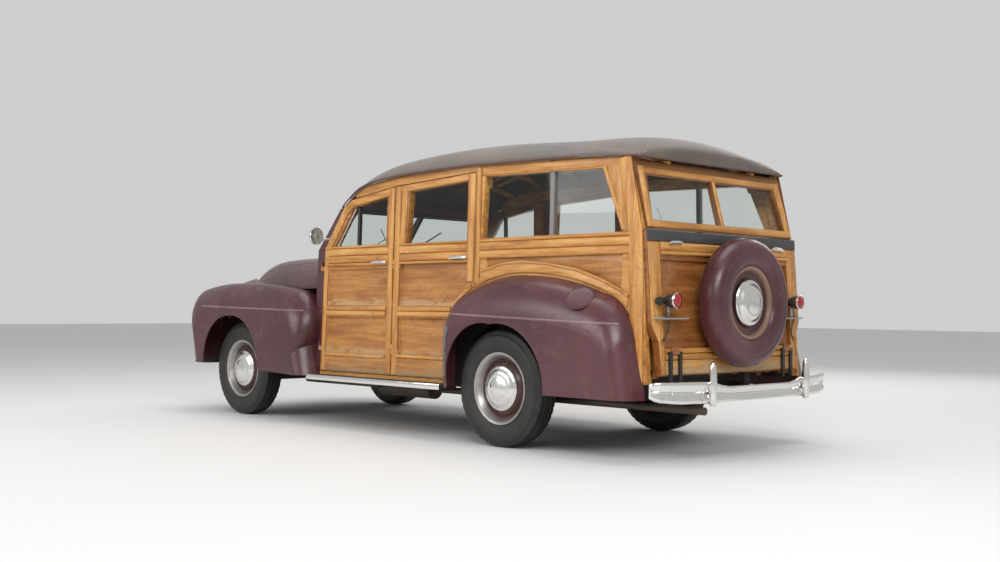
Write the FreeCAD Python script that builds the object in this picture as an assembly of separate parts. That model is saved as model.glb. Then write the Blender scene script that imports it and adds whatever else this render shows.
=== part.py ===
import FreeCAD
import Part
import math
import os

V = FreeCAD.Vector

# A wood-bodied station wagon of the late 1940s, in millimetres.
# While it is drawn, x runs forward from the rear axle, y to the left and
# z up from the ground.  The last step moves x = 0 to the middle of its length.

# Overall
wheelbase = 2896.0
rear_overhang = 1340.0
front_overhang = 798.0
half_width = 931.0

# Wheels
tyre_radius = 355.0
tyre_width = 162.0
tread_width = 122.0
rim_radius = 203.0
rim_width = 128.0
flange_radius = 221.0
hubcap_radius = 124.0
fit = 0.3

# The tyres stand this far inside the fenders, which sets the tracks.
front_tyre_tuck = 113.5
rear_tyre_tuck = 88.0
track_front = 2 * (half_width - front_tyre_tuck - tyre_width / 2)
track_rear = 2 * (half_width - rear_tyre_tuck - tyre_width / 2)

# Body side, drawn flat and then leaned inwards
fender_bulge = 161.0
side_y = half_width - fender_bulge
sill_z = 377.0
lean_deg = 1.5
wall = 45.0
panel_inset = 15.0
door_gap = 5.0
leaf_gap = 6.0
door_to_axle = 984.0
a_post_x = wheelbase - door_to_axle
c_post_x = 306.0
b_split_x = (a_post_x + c_post_x + leaf_gap) / 2
firewall_x = a_post_x + 86
belt_z = 1243.0
hinge_proud = 12.0
hinge_radius = 7.0

# Tailgate and liftgate
gate_foot = (-1115.0, 474.0)
gate_belt = (-1058.0, 1282.0)
gate_half = side_y - 28
gate_foot_half = gate_half - 66
gate_wall = 42.0
gate_hinge_radius = 9.0
gate_pin_radius = 5.0
gate_hinge_y = gate_foot_half - 116
gate_arm_width = 26.0
lip_room_radius = 146.0
lift_foot = (-1051.0, 1292.0)
lift_head = (-943.0, 1684.0)
lift_wall = 36.0
lift_half = gate_half - 26
lift_hinge_y = gate_half - 322
lift_pin_radius = 4.0
hinge_leaf = 30.0
pin_play = 0.1
gate_hinge = (-1125.0, 600.0)
lift_hinge = (-948.0, 1692.0)

# Floor and chassis
low_floor_z = 462.0
load_floor_z = 685.0
floor_wall = 20.0
step_x = c_post_x - 44
floor_end_x = -1045.0
rail_y = 345.0
rail_w = 62.0
rail_h = 105.0
rail_low_z = low_floor_z - floor_wall - fit
rail_rear_z = 600.0
rail_front_z = 470.0
radiator_foot_z = 480.0

# Spare wheel
spare_x = -1199.0
spare_z = 885.0
spare_cover_radius = 377.0

glass = 6.0
skin = 5.0


def block(x0, x1, y0, y1, z0, z1):
    return Part.makeBox(x1 - x0, y1 - y0, z1 - z0, V(x0, y0, z0))


def wire_of(points):
    return Part.makePolygon(points + [points[0]])


def side_plate(points, y0, y1):
    face = Part.Face(wire_of([V(x, y0, z) for x, z in points]))
    return face.extrude(V(0, y1 - y0, 0))


def plan_plate(points, z0, z1):
    face = Part.Face(wire_of([V(x, y, z0) for x, y in points]))
    return face.extrude(V(0, 0, z1 - z0))


def end_plate(points, x0, x1):
    face = Part.Face(wire_of([V(x0, y, z) for y, z in points]))
    return face.extrude(V(x1 - x0, 0, 0))


def bar(start, end, radius):
    run = end - start
    return Part.makeCylinder(radius, run.Length, start, run)


def other_side(shape):
    return shape.mirror(V(0, 0, 0), V(0, 1, 0))


def both_sides(shape):
    return Part.makeCompound([shape, other_side(shape)])


def fuse(shapes):
    whole = shapes[0].multiFuse(shapes[1:])
    return whole.removeSplitter()


def leaned(shape):
    # The left side wall leans in above the sill.
    turned = shape.copy()
    turned.rotate(V(0, side_y, sill_z), V(1, 0, 0), lean_deg)
    return turned


def mix(a, b, share):
    return a + (b - a) * share


def grown(points, by):
    # An outline moved outwards by a distance, or inwards where it is negative.
    wire = wire_of([V(x, 0, z) for x, z in points])
    wide = wire.makeOffset2D(by, 2)
    return [(v.X, v.Z) for v in wide.OrderedVertexes]


def pocket(points, y_floor, y_face, slope):
    # A recess with sloping sides, open towards +y.
    low = [V(x, y_floor, z) for x, z in grown(points, -slope)]
    high = [V(x, y_face + 1, z) for x, z in points]
    return Part.makeLoft([wire_of(low), wire_of(high)], True, True)


def tangent_arc(start, heading, end):
    # The arc that leaves start along heading and reaches end.
    chord = end - start
    turn = heading.getAngle(chord)
    side = heading - chord * (heading.dot(chord) / chord.dot(chord))
    if side.Length < 1e-6:
        return Part.LineSegment(start, end)
    side.normalize()
    middle = (start + end) * 0.5 + side * (chord.Length / 2 * math.tan(turn / 2))
    return Part.Arc(start, middle, end)


def crown_section(x, half, edge_z, top_z, shoulder, rise):
    # A roof or hood section: flat below, round shoulders, a crowned top.
    knee = V(x, half - shoulder, mix(edge_z, top_z, rise))
    foot = V(x, half, edge_z)
    top = Part.Arc(knee, V(x, 0, top_z), V(x, -knee.y, knee.z))
    heading = top.tangent(top.FirstParameter)[0] * -1
    left = tangent_arc(knee, heading, foot)
    middle = left.value((left.FirstParameter + left.LastParameter) / 2)
    left = Part.Arc(foot, middle, knee)
    right = Part.Arc(V(x, -knee.y, knee.z), V(x, -middle.y, middle.z), V(x, -half, edge_z))
    base = Part.LineSegment(V(x, -half, edge_z), foot)
    edges = [left.toShape(), top.toShape(), right.toShape(), base.toShape()]
    return Part.Wire(edges)


def crowned(stations, inset=0.0, drop=0.0, lower=0.0):
    # Stations hold x, half width, edge height, top height, shoulder, rise.
    wires = []
    for x, half, edge_z, top_z, shoulder, rise in stations:
        wires.append(crown_section(x, half - inset, edge_z - lower, top_z - drop, shoulder, rise))
    return Part.makeLoft(wires, True, False)


# Wheels and axles


def turned(profile, centre_y, x, z):
    # Profile points are (radius, offset along the axle).
    points = [V(x, centre_y + along, z + radius) for radius, along in profile]
    face = Part.Face(wire_of(points))
    return face.revolve(V(x, centre_y, z), V(0, 1, 0), 360)


def tyre_profile(outer):
    half = tyre_width / 2
    bore = rim_radius + fit
    bead = rim_width / 2 - 8
    return [(bore, -bead), (flange_radius + 4, -bead - 2), (bore + 75, -half),
            (outer - 30, -half + 4),
            (outer - 9, -tread_width / 2 - 4), (outer, -tread_width / 2 + 8),
            (outer, tread_width / 2 - 8), (outer - 9, tread_width / 2 + 4),
            (outer - 30, half - 4), (bore + 75, half), (flange_radius + 4, bead + 2), (bore, bead)]


def wheel_profiles():
    # A pressed wheel: rim, dished disc and hubcap.
    edge = rim_width / 2
    rim = [(rim_radius - 6, -edge + 4), (rim_radius, -edge + 8), (rim_radius, edge - 8),
           (flange_radius, edge - 4),
           (flange_radius, edge + 3), (rim_radius - 8, edge - 2), (rim_radius - 24, edge - 40),
           (rim_radius - 30, -edge + 40), (rim_radius - 8, -edge + 2)]
    disc = [(0, 8), (hubcap_radius - 16, 8), (rim_radius - 36, edge - 44), (rim_radius - 22, edge - 44),
            (rim_radius - 22, edge - 52), (rim_radius - 34, edge - 52), (hubcap_radius - 16, -2), (0, -2)]
    cap = [(0, 8), (hubcap_radius, 8), (hubcap_radius, 16), (hubcap_radius - 12, 30),
           (hubcap_radius - 44, 42),
           (36, 52), (0, 54)]
    return rim, disc, cap


def tyre(x, y, z, side):
    return turned(tyre_profile(tyre_radius), y, x, z)


def wheel(x, y, z, side):
    shapes = []
    for profile in wheel_profiles():
        shapes.append(turned([(r, side * a) for r, a in profile], y, x, z))
    return fuse(shapes)


wheel_places = []
for end, axle_x, track in (("front", wheelbase, track_front), ("rear", 0.0, track_rear)):
    for name, side in (("left", 1), ("right", -1)):
        wheel_places.append((end, name, axle_x, side * track / 2, side))

parts = {}
for end, name, axle_x, y, side in wheel_places:
    parts[f"tyre_{end}_{name}"] = tyre(axle_x, y, tyre_radius, side)
    parts[f"wheel_{end}_{name}"] = wheel(axle_x, y, tyre_radius, side)

kingpin_inset = 81.5
kingpin_y = track_front / 2 - kingpin_inset
kingpin_radius = 15.0
kingpin_half = 62.0
axle_radius = 38.0
torque_tube_radius = 36.0
gearbox_x = wheelbase - 716
front_beam_h = 54.0
front_beam_drop = 70.0
spring_w = 50.0
hub_face = -2.0
rear_spring_x = -140.0
front_spring_x = wheelbase + 110.0
spring_reach = 470.0


def rear_axle():
    y_end = track_rear / 2 + hub_face - fit
    tube = bar(V(0, -y_end, tyre_radius), V(0, y_end, tyre_radius), axle_radius)
    bell = Part.makeSphere(118, V(0, 0, tyre_radius))
    torque = bar(V(0, 0, tyre_radius), V(gearbox_x - 40, 0, tyre_radius + 75), torque_tube_radius)
    drums = []
    for side in (1, -1):
        drums.append(bar(V(0, side * (y_end - 70), tyre_radius), V(0, side * y_end, tyre_radius), 145))
        a, b = sorted((side * (spring_reach - 32), side * spring_reach))
        drums.append(block(rear_spring_x - 20, 0, a, b, tyre_radius - 20, 392 - fit))
    return fuse([tube, bell, torque] + drums)


def front_axle():
    low = tyre_radius - front_beam_drop
    half_h = front_beam_h / 2
    arm = kingpin_y - 24
    outline = [(-arm, tyre_radius + 30), (-arm, tyre_radius - 30), (-arm + 60, low - half_h),
               (arm - 60, low - half_h), (arm, tyre_radius - 30), (arm, tyre_radius + 30),
               (arm - 90, low + half_h), (-arm + 90, low + half_h)]
    beam = end_plate(outline, wheelbase - 24, wheelbase + 24)
    ends = []
    for side in (1, -1):
        ends.append(bar(V(wheelbase, side * kingpin_y, tyre_radius - 26),
                        V(wheelbase, side * kingpin_y, tyre_radius + 26), 34))
        a, b = sorted((side * (spring_reach - 62), side * (spring_reach - 30)))
        ends.append(block(wheelbase, front_spring_x + 20, a, b, low - 22, 292 - fit))
    boss = fuse([beam] + ends)
    hole = [bar(V(wheelbase, s * kingpin_y, 200), V(wheelbase, s * kingpin_y, 500),
                kingpin_radius + fit) for s in (1, -1)]
    return boss.cut(Part.makeCompound(hole))


def knuckle(side):
    # A fork over the end of the beam, its kingpin, the brake drum and the stub axle.
    y = side * kingpin_y
    pin = bar(V(wheelbase, y, tyre_radius - kingpin_half), V(wheelbase, y, tyre_radius + kingpin_half),
              kingpin_radius)
    y_end = side * (track_front / 2 + hub_face - fit)
    plate_y = side * (kingpin_y + 40)
    low, high = sorted((plate_y, plate_y + side * 8))
    plate = block(wheelbase - 45, wheelbase + 45, low, high, tyre_radius - kingpin_half,
                  tyre_radius + kingpin_half)
    forks = []
    for z0 in (tyre_radius - kingpin_half, tyre_radius + kingpin_half - 30):
        a, b = sorted((y - side * 10, plate_y))
        forks.append(block(wheelbase - 20, wheelbase + 20, a, b, z0, z0 + 30))
    drum = bar(V(wheelbase, plate_y, tyre_radius), V(wheelbase, y_end, tyre_radius), 140)
    return fuse([pin, plate, drum] + forks)


parts["rear_axle"] = rear_axle()
parts["front_axle"] = front_axle()
parts["knuckle_left"] = knuckle(1)
parts["knuckle_right"] = knuckle(-1)


# Chassis

frame_front_x = wheelbase + 544
frame_rear_x = -975.0


def rail_outline():
    low = rail_low_z
    axle = wheelbase
    front = rail_front_z
    rear = rail_rear_z
    return [(frame_rear_x, 380), (-560, 420), (-330, rear), (140, rear), (236, low), (axle - 596, low),
            (axle - 336, front), (axle + 304, front), (frame_front_x, 400), (frame_front_x, 330),
            (axle + 254, front - rail_h), (axle - 296, front - rail_h), (axle - 566, low - rail_h),
            (206, low - rail_h), (110, rear - rail_h), (-300, rear - rail_h), (-560, 325),
            (frame_rear_x, 300)]


outrigger_x = (c_post_x + 334, b_split_x + 38, a_post_x - 72)
tube_room = 50.0


def frame():
    # The side rails with their outriggers and body mounts.
    rail = side_plate(rail_outline(), rail_y, rail_y + rail_w)
    low = rail_low_z
    pieces = [rail]
    for x in outrigger_x:
        pieces.append(block(x, x + 46, rail_y + rail_w - 4, side_y - 92, low - 70, low))
    for x in (-300, 60):
        pieces.append(block(x, x + 60, rail_y, rail_y + rail_w, rail_rear_z - 5, load_floor_z - floor_wall - fit))
    pieces.append(block(-962, -912, rail_y, rail_y + rail_w, 360, 500 - fit))
    left = fuse(pieces)
    return Part.makeCompound([left, other_side(left)])


def cross_members():
    # Between the rails, cut away where the drive shaft's tube passes.
    inner = rail_y - fit
    low = rail_low_z
    start = V(0, 0, tyre_radius)
    end = V(gearbox_x - 40, 0, tyre_radius + 75)
    passage = bar(start + (end - start) * 0.2, end, tube_room)
    members = []
    # Place along the car, length, foot and head heights.
    for x, length, z0, z1 in ((frame_rear_x + 30, 60, 310, 380), (-200, 120, 500, 595),
                              (c_post_x + 454, 90, low - rail_h, low),
                              (b_split_x + 368, 90, low - rail_h, low),
                              (firewall_x + 72, 90, low - rail_h, low), (wheelbase + 54, 112, 400, 465),
                              (wheelbase + 224, 80, 405, radiator_foot_z - fit),
                              (wheelbase + 464, 70, 345, 400)):
        members.append(block(x, x + length, -inner, inner, z0, z1).cut(passage))
    return Part.makeCompound(members)


def spring_pack(x, z_top, reach):
    outline = [(-reach, z_top - 96), (-reach * 0.5, z_top - 34), (0, z_top - 8), (reach * 0.5, z_top - 34),
               (reach, z_top - 96), (reach, z_top - 108), (reach * 0.5, z_top - 58), (0, z_top - 50),
               (-reach * 0.5, z_top - 58), (-reach, z_top - 108)]
    leaves = end_plate(outline, x - spring_w / 2, x + spring_w / 2)
    clamp = block(x - 40, x + 40, -46, 46, z_top - 56, z_top - fit)
    return fuse([leaves, clamp])


def springs():
    return Part.makeCompound([spring_pack(rear_spring_x, 500, spring_reach),
                              spring_pack(front_spring_x, 400, spring_reach - 30)])


def engine():
    x0 = gearbox_x
    shapes = [block(x0 + 260, wheelbase + 64, -250, 250, 500, 930),
              block(x0, x0 + 280, -130, 130, 360, 640)]
    shapes.append(block(wheelbase - 196, wheelbase - 116, -400, 400, rail_front_z + fit, 530))
    return fuse(shapes)


def radiator():
    return block(wheelbase + 234, wheelbase + 294, -300, 300, radiator_foot_z, 960)


def exhaust():
    # Down pipe, silencer and tail pipe, hung from the outriggers.
    y = rail_y + rail_w + 93
    z = 285.0
    r = 22.0
    x0 = gearbox_x + 260
    run = [V(x0, 90, 360 - fit), V(x0, 90, z), V(x0, y, z), V(55 - rear_overhang, y, z)]
    pieces = []
    for a, b in zip(run, run[1:]):
        pieces.append(bar(a, b, r))
        pieces.append(Part.makeSphere(r, b))
    pieces.pop()
    pieces.append(bar(V(b_split_x + 388, y, z), V(b_split_x - 152, y, z), 68))
    for x in outrigger_x:
        pieces.append(block(x + 12, x + 34, y - 10, y + 10, z, rail_low_z - 70 - fit))
    pieces.append(block(-950, -926, rail_y + rail_w + fit, y, z + 18, z + 40))
    return fuse(pieces)


parts["frame"] = frame()
parts["cross_members"] = cross_members()
parts["engine_block"] = engine()
parts["radiator"] = radiator()
parts["springs"] = springs()
parts["exhaust"] = exhaust()


# Fenders, hood and nose

fender_low_z = 345.0
nose_x = wheelbase + 594
hood_rear_x = firewall_x + 10
body_half_at_cowl = side_y - 30
cowl_half = side_y - 28
fender_ledge = 25.0
hood_gap = 6.0
grille_half = side_y - 390
lamp_head_y = half_width - 291
lamp_head_z = 800.0
lamp_bowl_radius = 84.0
lamp_ring_radius = 98.0
lamp_ring_x = wheelbase + 638
hood_hinge = (hood_rear_x + 10, 1246.0)
hood_roll_radius = 5.0
hood_roll_half = 60.0

# Hood stations: x, half width, edge height, top height, shoulder, rise.
hood_stations = [(firewall_x - 98, cowl_half, 985, 1252, 150, 0.82),
                 (wheelbase - 596, side_y - 84, 972, 1241, 190, 0.84),
                 (wheelbase - 146, side_y - 176, 990, 1233, 190, 0.88),
                 (wheelbase + 254, side_y - 270, 990, 1204, 180, 0.84),
                 (nose_x, grille_half - 40, 945, 1052, 140, 0.66)]

# Arch and outline tables hold (start, middle, end) points of arcs in side view.
rear_outline = [((470, 740), (430, 868), (300, 955)), ((300, 955), (80, 1025), (-177, 1041)),
                ((-177, 1041), (-480, 1012), (-764, 938)), ((-764, 938), (-930, 850), (-1015, 700))]
rear_ends = ((470, fender_low_z), (-1085, fender_low_z))
rear_arch = [((366, 345), (300, 640), (-10, 745)), ((-10, 745), (-345, 640), (-458, 345))]
front_outline_from_axle = [((-908, 560), (-884, 850), (-766, 946)), ((-766, 946), (-396, 992), (4, 1006)),
                           ((4, 1006), (304, 1000), (546, 966)), ((546, 966), (632, 912), (650, 790))]
front_arch_from_axle = [((-396, 345), (-306, 640), (4, 765)), ((4, 765), (274, 660), (366, 345))]
front_ends = ((wheelbase - 971, fender_low_z), (wheelbase + 579, 430))
# Fender sections: distance in from the widest place, drop of the crown, how far each end draws in.
rear_sections = [(191, 0, 0), (131, 12, 5), (69, 58, 22), (23, 140, 50), (0, 262, 100)]
front_sections = [(631, -22, 0), (371, -14, 0), (231, -5, 0), (131, 0, 0), (69, 50, 20), (23, 132, 58),
                  (0, 250, 120)]


def ahead(arcs, distance):
    return [tuple((x + distance, z) for x, z in arc) for arc in arcs]


front_outline = ahead(front_outline_from_axle, wheelbase)
front_arch = ahead(front_arch_from_axle, wheelbase)


def arch_plate(arcs, y0, y1, low=200.0):
    edges = []
    for a, b, c in arcs:
        edges.append(Part.Arc(V(a[0], y0, a[1]), V(b[0], y0, b[1]), V(c[0], y0, c[1])).toShape())
    first = V(arcs[0][0][0], y0, arcs[0][0][1])
    last = V(arcs[-1][2][0], y0, arcs[-1][2][1])
    down_last = V(last.x, y0, low)
    down_first = V(first.x, y0, low)
    for p, q in ((last, down_last), (down_last, down_first), (down_first, first)):
        edges.append(Part.LineSegment(p, q).toShape())
    return Part.Face(Part.Wire(edges)).extrude(V(0, y1 - y0, 0))


def fender_wire(arcs, ends, y, drop, draw, low):
    start, stop = ends
    top = max(p[1] for arc in arcs for p in arc)
    middle = (start[0] + stop[0]) / 2
    half = abs(start[0] - stop[0]) / 2

    def moved(p):
        share = (p[1] - fender_low_z) / (top - fender_low_z)
        return V(middle + (p[0] - middle) * (1 - draw / half), y, p[1] - drop * share - low)

    edges = [Part.LineSegment(moved(start), moved(arcs[0][0])).toShape()]
    for a, b, c in arcs:
        edges.append(Part.Arc(moved(a), moved(b), moved(c)).toShape())
    edges.append(Part.LineSegment(moved(arcs[-1][2]), moved(stop)).toShape())
    edges.append(Part.LineSegment(moved(stop), moved(start)).toShape())
    return Part.Wire(edges)


def fender_shell(arcs, ends, sections):
    outer_wires = []
    inner_wires = []
    for inboard, drop, draw in sections:
        y = half_width - inboard
        inner_y = y - 1 if inboard else y - skin
        outer_wires.append(fender_wire(arcs, ends, y, drop, draw, 0))
        inner_wires.append(fender_wire(arcs, ends, inner_y, drop + skin, draw + skin, 8))
    outer = Part.makeLoft(outer_wires, True, False)
    inner = Part.makeLoft(inner_wires, True, False)
    return outer.cut(inner)


def rear_fender():
    shell = fender_shell(rear_outline, rear_ends, rear_sections)
    shell = shell.cut(arch_plate(rear_arch, side_y - 120, half_width + 70))
    wall_space = leaned(block(-1300, 700, 0, side_y + fit, 100, 1300))
    return shell.cut(wall_space)


def front_fender():
    shell = fender_shell(front_outline, front_ends, front_sections)
    shell = shell.cut(arch_plate(front_arch, side_y - 220, half_width + 70))
    shell = shell.cut(leaned(block(a_post_x - 412, firewall_x + fit, 0, side_y - 6 + fit, 100, 1300)))
    edge = [(x, half - fender_ledge) for x, half, low, top, r, s in hood_stations[:-1]]
    ahead_x = nose_x + 210
    grille_corner = [(wheelbase + 434, grille_half), (ahead_x, grille_half), (ahead_x, 0)]
    inside = plan_plate([(hood_stations[0][0], 0)] + edge + grille_corner, 0, 1300)
    shell = shell.cut(inside)
    shell = shell.cut(crowned(hood_stations, inset=-hood_gap, drop=-60, lower=hood_gap))
    y, z = lamp_head_y, lamp_head_z
    bowl = bar(V(frame_front_x - 60, y, z), V(ahead_x, y, z), lamp_bowl_radius + fit)
    ring = bar(V(lamp_ring_x - fit, y, z), V(ahead_x, y, z), lamp_ring_radius + fit)
    return shell.cut(fuse([bowl, ring]))


parts["rear_fenders"] = both_sides(rear_fender())
parts["front_fenders"] = both_sides(front_fender())


def hood():
    outer = crowned(hood_stations)
    inner_stations = [(hood_stations[0][0] - 10,) + hood_stations[0][1:]] + hood_stations[1:-1]
    last = hood_stations[-1]
    inner_stations.append((last[0] - 30,) + last[1:])
    inner = crowned(inner_stations, inset=skin + 2, drop=skin + 2, lower=12)
    shell = outer.cut(inner)
    shell = shell.cut(block(a_post_x - 212, hood_rear_x, -half_width, half_width, 800, 1400))
    x, z = hood_hinge
    return fuse([shell, bar(V(x, -hood_roll_half, z), V(x, hood_roll_half, z), hood_roll_radius)])


parts["hood"] = hood()


# Roof

roof_half = side_y - 2
roof_side = 58.0
roof_top = 26.0

# Roof stations: x, half width, edge height, top height, shoulder, rise.
roof_stations = [(-985, roof_half - 48, 1698, 1778, 190, 0.60),
                 (-900, roof_half - 4, 1700, 1832, 175, 0.58),
                 (-450, roof_half, 1722, 1898, 165, 0.60), (350, roof_half, 1738, 1940, 165, 0.62),
                 (a_post_x - 862, roof_half, 1724, 1918, 165, 0.62),
                 (a_post_x - 472, roof_half - 6, 1680, 1830, 165, 0.60),
                 (a_post_x - 272, roof_half - 16, 1588, 1706, 170, 0.58),
                 (a_post_x - 196, roof_half - 30, 1545, 1612, 180, 0.60)]


def roof():
    outer = crowned(roof_stations)
    first = (roof_stations[0][0] + 34,) + roof_stations[0][1:]
    last = (roof_stations[-1][0] - 40,) + roof_stations[-1][1:]
    inner = crowned([first] + roof_stations[1:-1] + [last], inset=roof_side, drop=roof_top, lower=30)
    return outer.cut(inner)


def above_roof_edge():
    # Everything over the roof's lower face.
    outer = crowned(roof_stations)
    long_faces = [face for face in outer.Faces if face.BoundBox.XLength > 1000]
    base = min(long_faces, key=lambda face: face.CenterOfMass.z)
    return base.extrude(V(0, 0, 400))


parts["roof"] = roof()
headroom = above_roof_edge()


# Doors and side walls, drawn flat and leaned

front_door_edge = [(a_post_x, sill_z + 5), (a_post_x - 16, belt_z), (a_post_x - 228, 1548),
                   (a_post_x - 314, 1598),
                   (b_split_x + leaf_gap / 2, 1658), (b_split_x + leaf_gap / 2, sill_z + 5)]
rear_door_edge = [(b_split_x - leaf_gap / 2, sill_z + 5), (b_split_x - leaf_gap / 2, 1660),
                  (c_post_x, 1700), (c_post_x, 700),
                  (c_post_x + 134, sill_z + 5)]
fender_clear = 17.0
window_sill_z = 1263.0
front_window = [(a_post_x - 126, window_sill_z), (a_post_x - 338, 1536), (b_split_x + 86, 1600),
                (b_split_x + 94, window_sill_z)]
rear_window = [(b_split_x - 126, window_sill_z), (b_split_x - 152, 1617), (c_post_x + 82, 1650),
               (c_post_x + 82, window_sill_z)]
quarter_window = [(250, 1277), (232, 1668), (-742, 1648), (-905, 1277)]
front_pockets = [[(a_post_x - 66, 856), (a_post_x - 74, 1108), (b_split_x + 66, 1108),
                  (b_split_x + 66, 856)],
                 [(a_post_x - 62, 502), (a_post_x - 64, 770), (b_split_x + 66, 770), (b_split_x + 66, 502)]]
rear_pockets = [[(b_split_x - 60, 856), (b_split_x - 60, 1140), (c_post_x + 56, 1140),
                 (c_post_x + 56, 1010), (c_post_x + 154, 925),
                 (c_post_x + 206, 856)],
                [(b_split_x - 60, 502), (b_split_x - 60, 770), (c_post_x + 242, 770),
                 (c_post_x + 246, 502)]]
quarter_pockets = [[(205, 1158), (205, 1078), (60, 1112), (-112, 1124), (-321, 1108), (-561, 1068),
                    (-752, 1010), (-895, 950),
                    (-905, 1158)]]
vent_bar = (a_post_x - 394, a_post_x - 372)
slider_bar = (-356, -324)
glass_y = side_y - 22
side_low_y = side_y - 170
side_high_y = side_y + 130


def fender_room(gap):
    wire = fender_wire(rear_outline, rear_ends, side_low_y, -gap, -gap, 0)
    return Part.Face(wire).extrude(V(0, side_high_y - side_low_y + 100, 0))


def door_blank(edge, gap, y0, y1):
    plate = side_plate(grown(edge, gap) if gap else edge, y0, y1)
    return plate.cut(fender_room(fender_clear - gap))


door_hinge_z = (560, 1130)
screen_side_x = a_post_x - 357


def door(edge, window, pockets, bars, hinge_x):
    leaf = door_blank(edge, 0, side_y - wall, side_y)
    cuts = [side_plate(window, 0, 1000)]
    for outline in pockets:
        cuts.append(pocket(outline, side_y - panel_inset, side_y, 10))
    leaf = leaf.cut(Part.makeCompound(cuts))
    pieces = [leaf]
    for x0, x1 in bars:
        pieces.append(block(x0, x1, side_y - 34, side_y - 10, window_sill_z - 4, 1575))
    for z in door_hinge_z:
        pieces.append(bar(V(hinge_x, side_y + hinge_proud, z - 32), V(hinge_x, side_y + hinge_proud, z),
                          hinge_radius))
        pieces.append(block(hinge_x - 60, hinge_x, side_y - 2, side_y + hinge_proud - 2, z - 32, z - 2))
    return leaned(fuse(pieces))


front_hinge_x = a_post_x + 4
# The rear leaf's hinge stands clear of the front leaf's swing.
rear_hinge_x = b_split_x - 14
parts["front_door_left"] = door(front_door_edge, front_window, front_pockets, [vent_bar], front_hinge_x)
parts["rear_door_left"] = door(rear_door_edge, rear_window, rear_pockets, [], rear_hinge_x)


def window_glass(window):
    seat = grown(window, -fit)
    return side_plate(seat, glass_y - glass, glass_y)


def door_glass(window, bars):
    pane = window_glass(window)
    for x0, x1 in bars:
        pane = pane.cut(block(x0 - fit, x1 + fit, side_low_y, side_high_y, 1200, 1700))
    return leaned(pane)


parts["front_door_left_glass"] = door_glass(front_window, [vent_bar])
parts["rear_door_left_glass"] = door_glass(rear_window, [])
parts["quarter_glass"] = both_sides(door_glass(quarter_window, [slider_bar]))


def side_wall():
    outline = [(-1040, 475), (-1006, 1277), (-905, 1760), (screen_side_x, 1760), (screen_side_x, 340),
               (-60, 340)]
    plate = side_plate(outline, side_y - wall, side_y)
    sill = block(screen_side_x - 5, a_post_x + 8, side_y - wall, side_y, 340, sill_z)
    top_tie = block(-880, screen_side_x - 55, side_y - wall - 20, side_y - wall + 6, 1600, 1760)
    plate = plate.fuse(sill).fuse(top_tie)
    cuts = [door_blank(edge, door_gap, side_low_y, side_high_y) for edge in (front_door_edge,
                                                                             rear_door_edge)]
    cuts.append(side_plate(quarter_window, side_low_y, side_high_y))
    for outline in quarter_pockets:
        cuts.append(pocket(outline, side_y - panel_inset, side_y, 8))
    cuts.append(arch_plate(rear_arch, side_low_y, side_high_y))
    wall_plate = plate.cut(Part.makeCompound(cuts))
    posts = [block(b_split_x - 34, b_split_x + 34, side_y - wall - 40, side_y - wall - 6, sill_z - 20,
                   1720)]
    posts.append(block(slider_bar[0], slider_bar[1], side_y - 36, side_y - 8, 1270, 1672))
    rocker = block(c_post_x + 174, a_post_x + 3, side_y - wall - 45, side_y - wall - 6, 340, low_floor_z)
    tie = block(c_post_x + 174, a_post_x + 3, side_y - wall - 10, side_y - wall + 10, 340, sill_z)
    return fuse([wall_plate, rocker, tie] + posts)


def gate_line(foot, head, z):
    return foot[0] + (head[0] - foot[0]) * (z - foot[1]) / (head[1] - foot[1])


def slab_between(foot, head, d0, d1, half):
    # A leaning slab between two depths behind the outer face.
    pts = [(foot[0] + d0, foot[1]), (head[0] + d0, head[1]), (head[0] + d1, head[1]),
           (foot[0] + d1, foot[1])]
    return side_plate(pts, -half, half)


def d_post():
    outline = [(-976, 430), (-962, 1060), (-955, 1277), (-866, 1697), (-934, 1697), (-1040, 1292),
               (-1056, 1060),
               (-1082, 430)]
    return side_plate(outline, side_y - 75, side_y)


def gate_room():
    # The space that the tailgate and the liftgate close, with their gaps.
    g = door_gap
    behind = 60
    foot_x, foot_z = gate_foot
    belt_x, belt_top = gate_belt
    low = [(foot_x - behind, foot_z - 60), (foot_x + gate_wall + g, foot_z - 60),
           (belt_x + gate_wall + g, belt_top),
           (belt_x - behind, belt_top)]
    high = [(lift_foot[0] - behind, belt_top), (lift_foot[0] + lift_wall + g, belt_top),
            (lift_head[0] + lift_wall + g, lift_head[1] + g), (lift_head[0] - behind, lift_head[1] + g)]
    return fuse([side_plate(low, -gate_half - g, gate_half + g),
                 side_plate(high, -lift_half - g, lift_half + g)])


def gate_hinge_arms():
    x, z = gate_hinge
    arms = []
    for y in (-gate_hinge_y, gate_hinge_y):
        for side in (-1, 1):
            a = y + side * (hinge_leaf + fit)
            b = a + side * gate_arm_width
            lo, hi = min(a, b), max(a, b)
            barrel = bar(V(x, lo, z), V(x, hi, z), gate_hinge_radius)
            outline = [(x - 8, z), (x + 4, z), (x + 4, 452), (-966, 452), (-966, 510), (-940, 510),
                       (-940, 434),
                       (x - 8, 434)]
            drop = side_plate(outline, lo, hi)
            arms.append(fuse([barrel, drop]))
        arms.append(bar(V(x, y - hinge_leaf - 10, z), V(x, y + hinge_leaf + 10, z), gate_pin_radius))
    return arms


def lift_hinge_lugs():
    # Lugs from the header that carry the pins of the liftgate's hinges.
    x, z = lift_hinge
    lugs = []
    for y in (-lift_hinge_y, lift_hinge_y):
        lugs.append(block(x, -880, y + fit, y + hinge_leaf, z - lift_pin_radius, z + lift_pin_radius))
        lugs.append(bar(V(x, y - hinge_leaf, z), V(x, y + hinge_leaf, z), lift_pin_radius))
    return lugs


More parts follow.
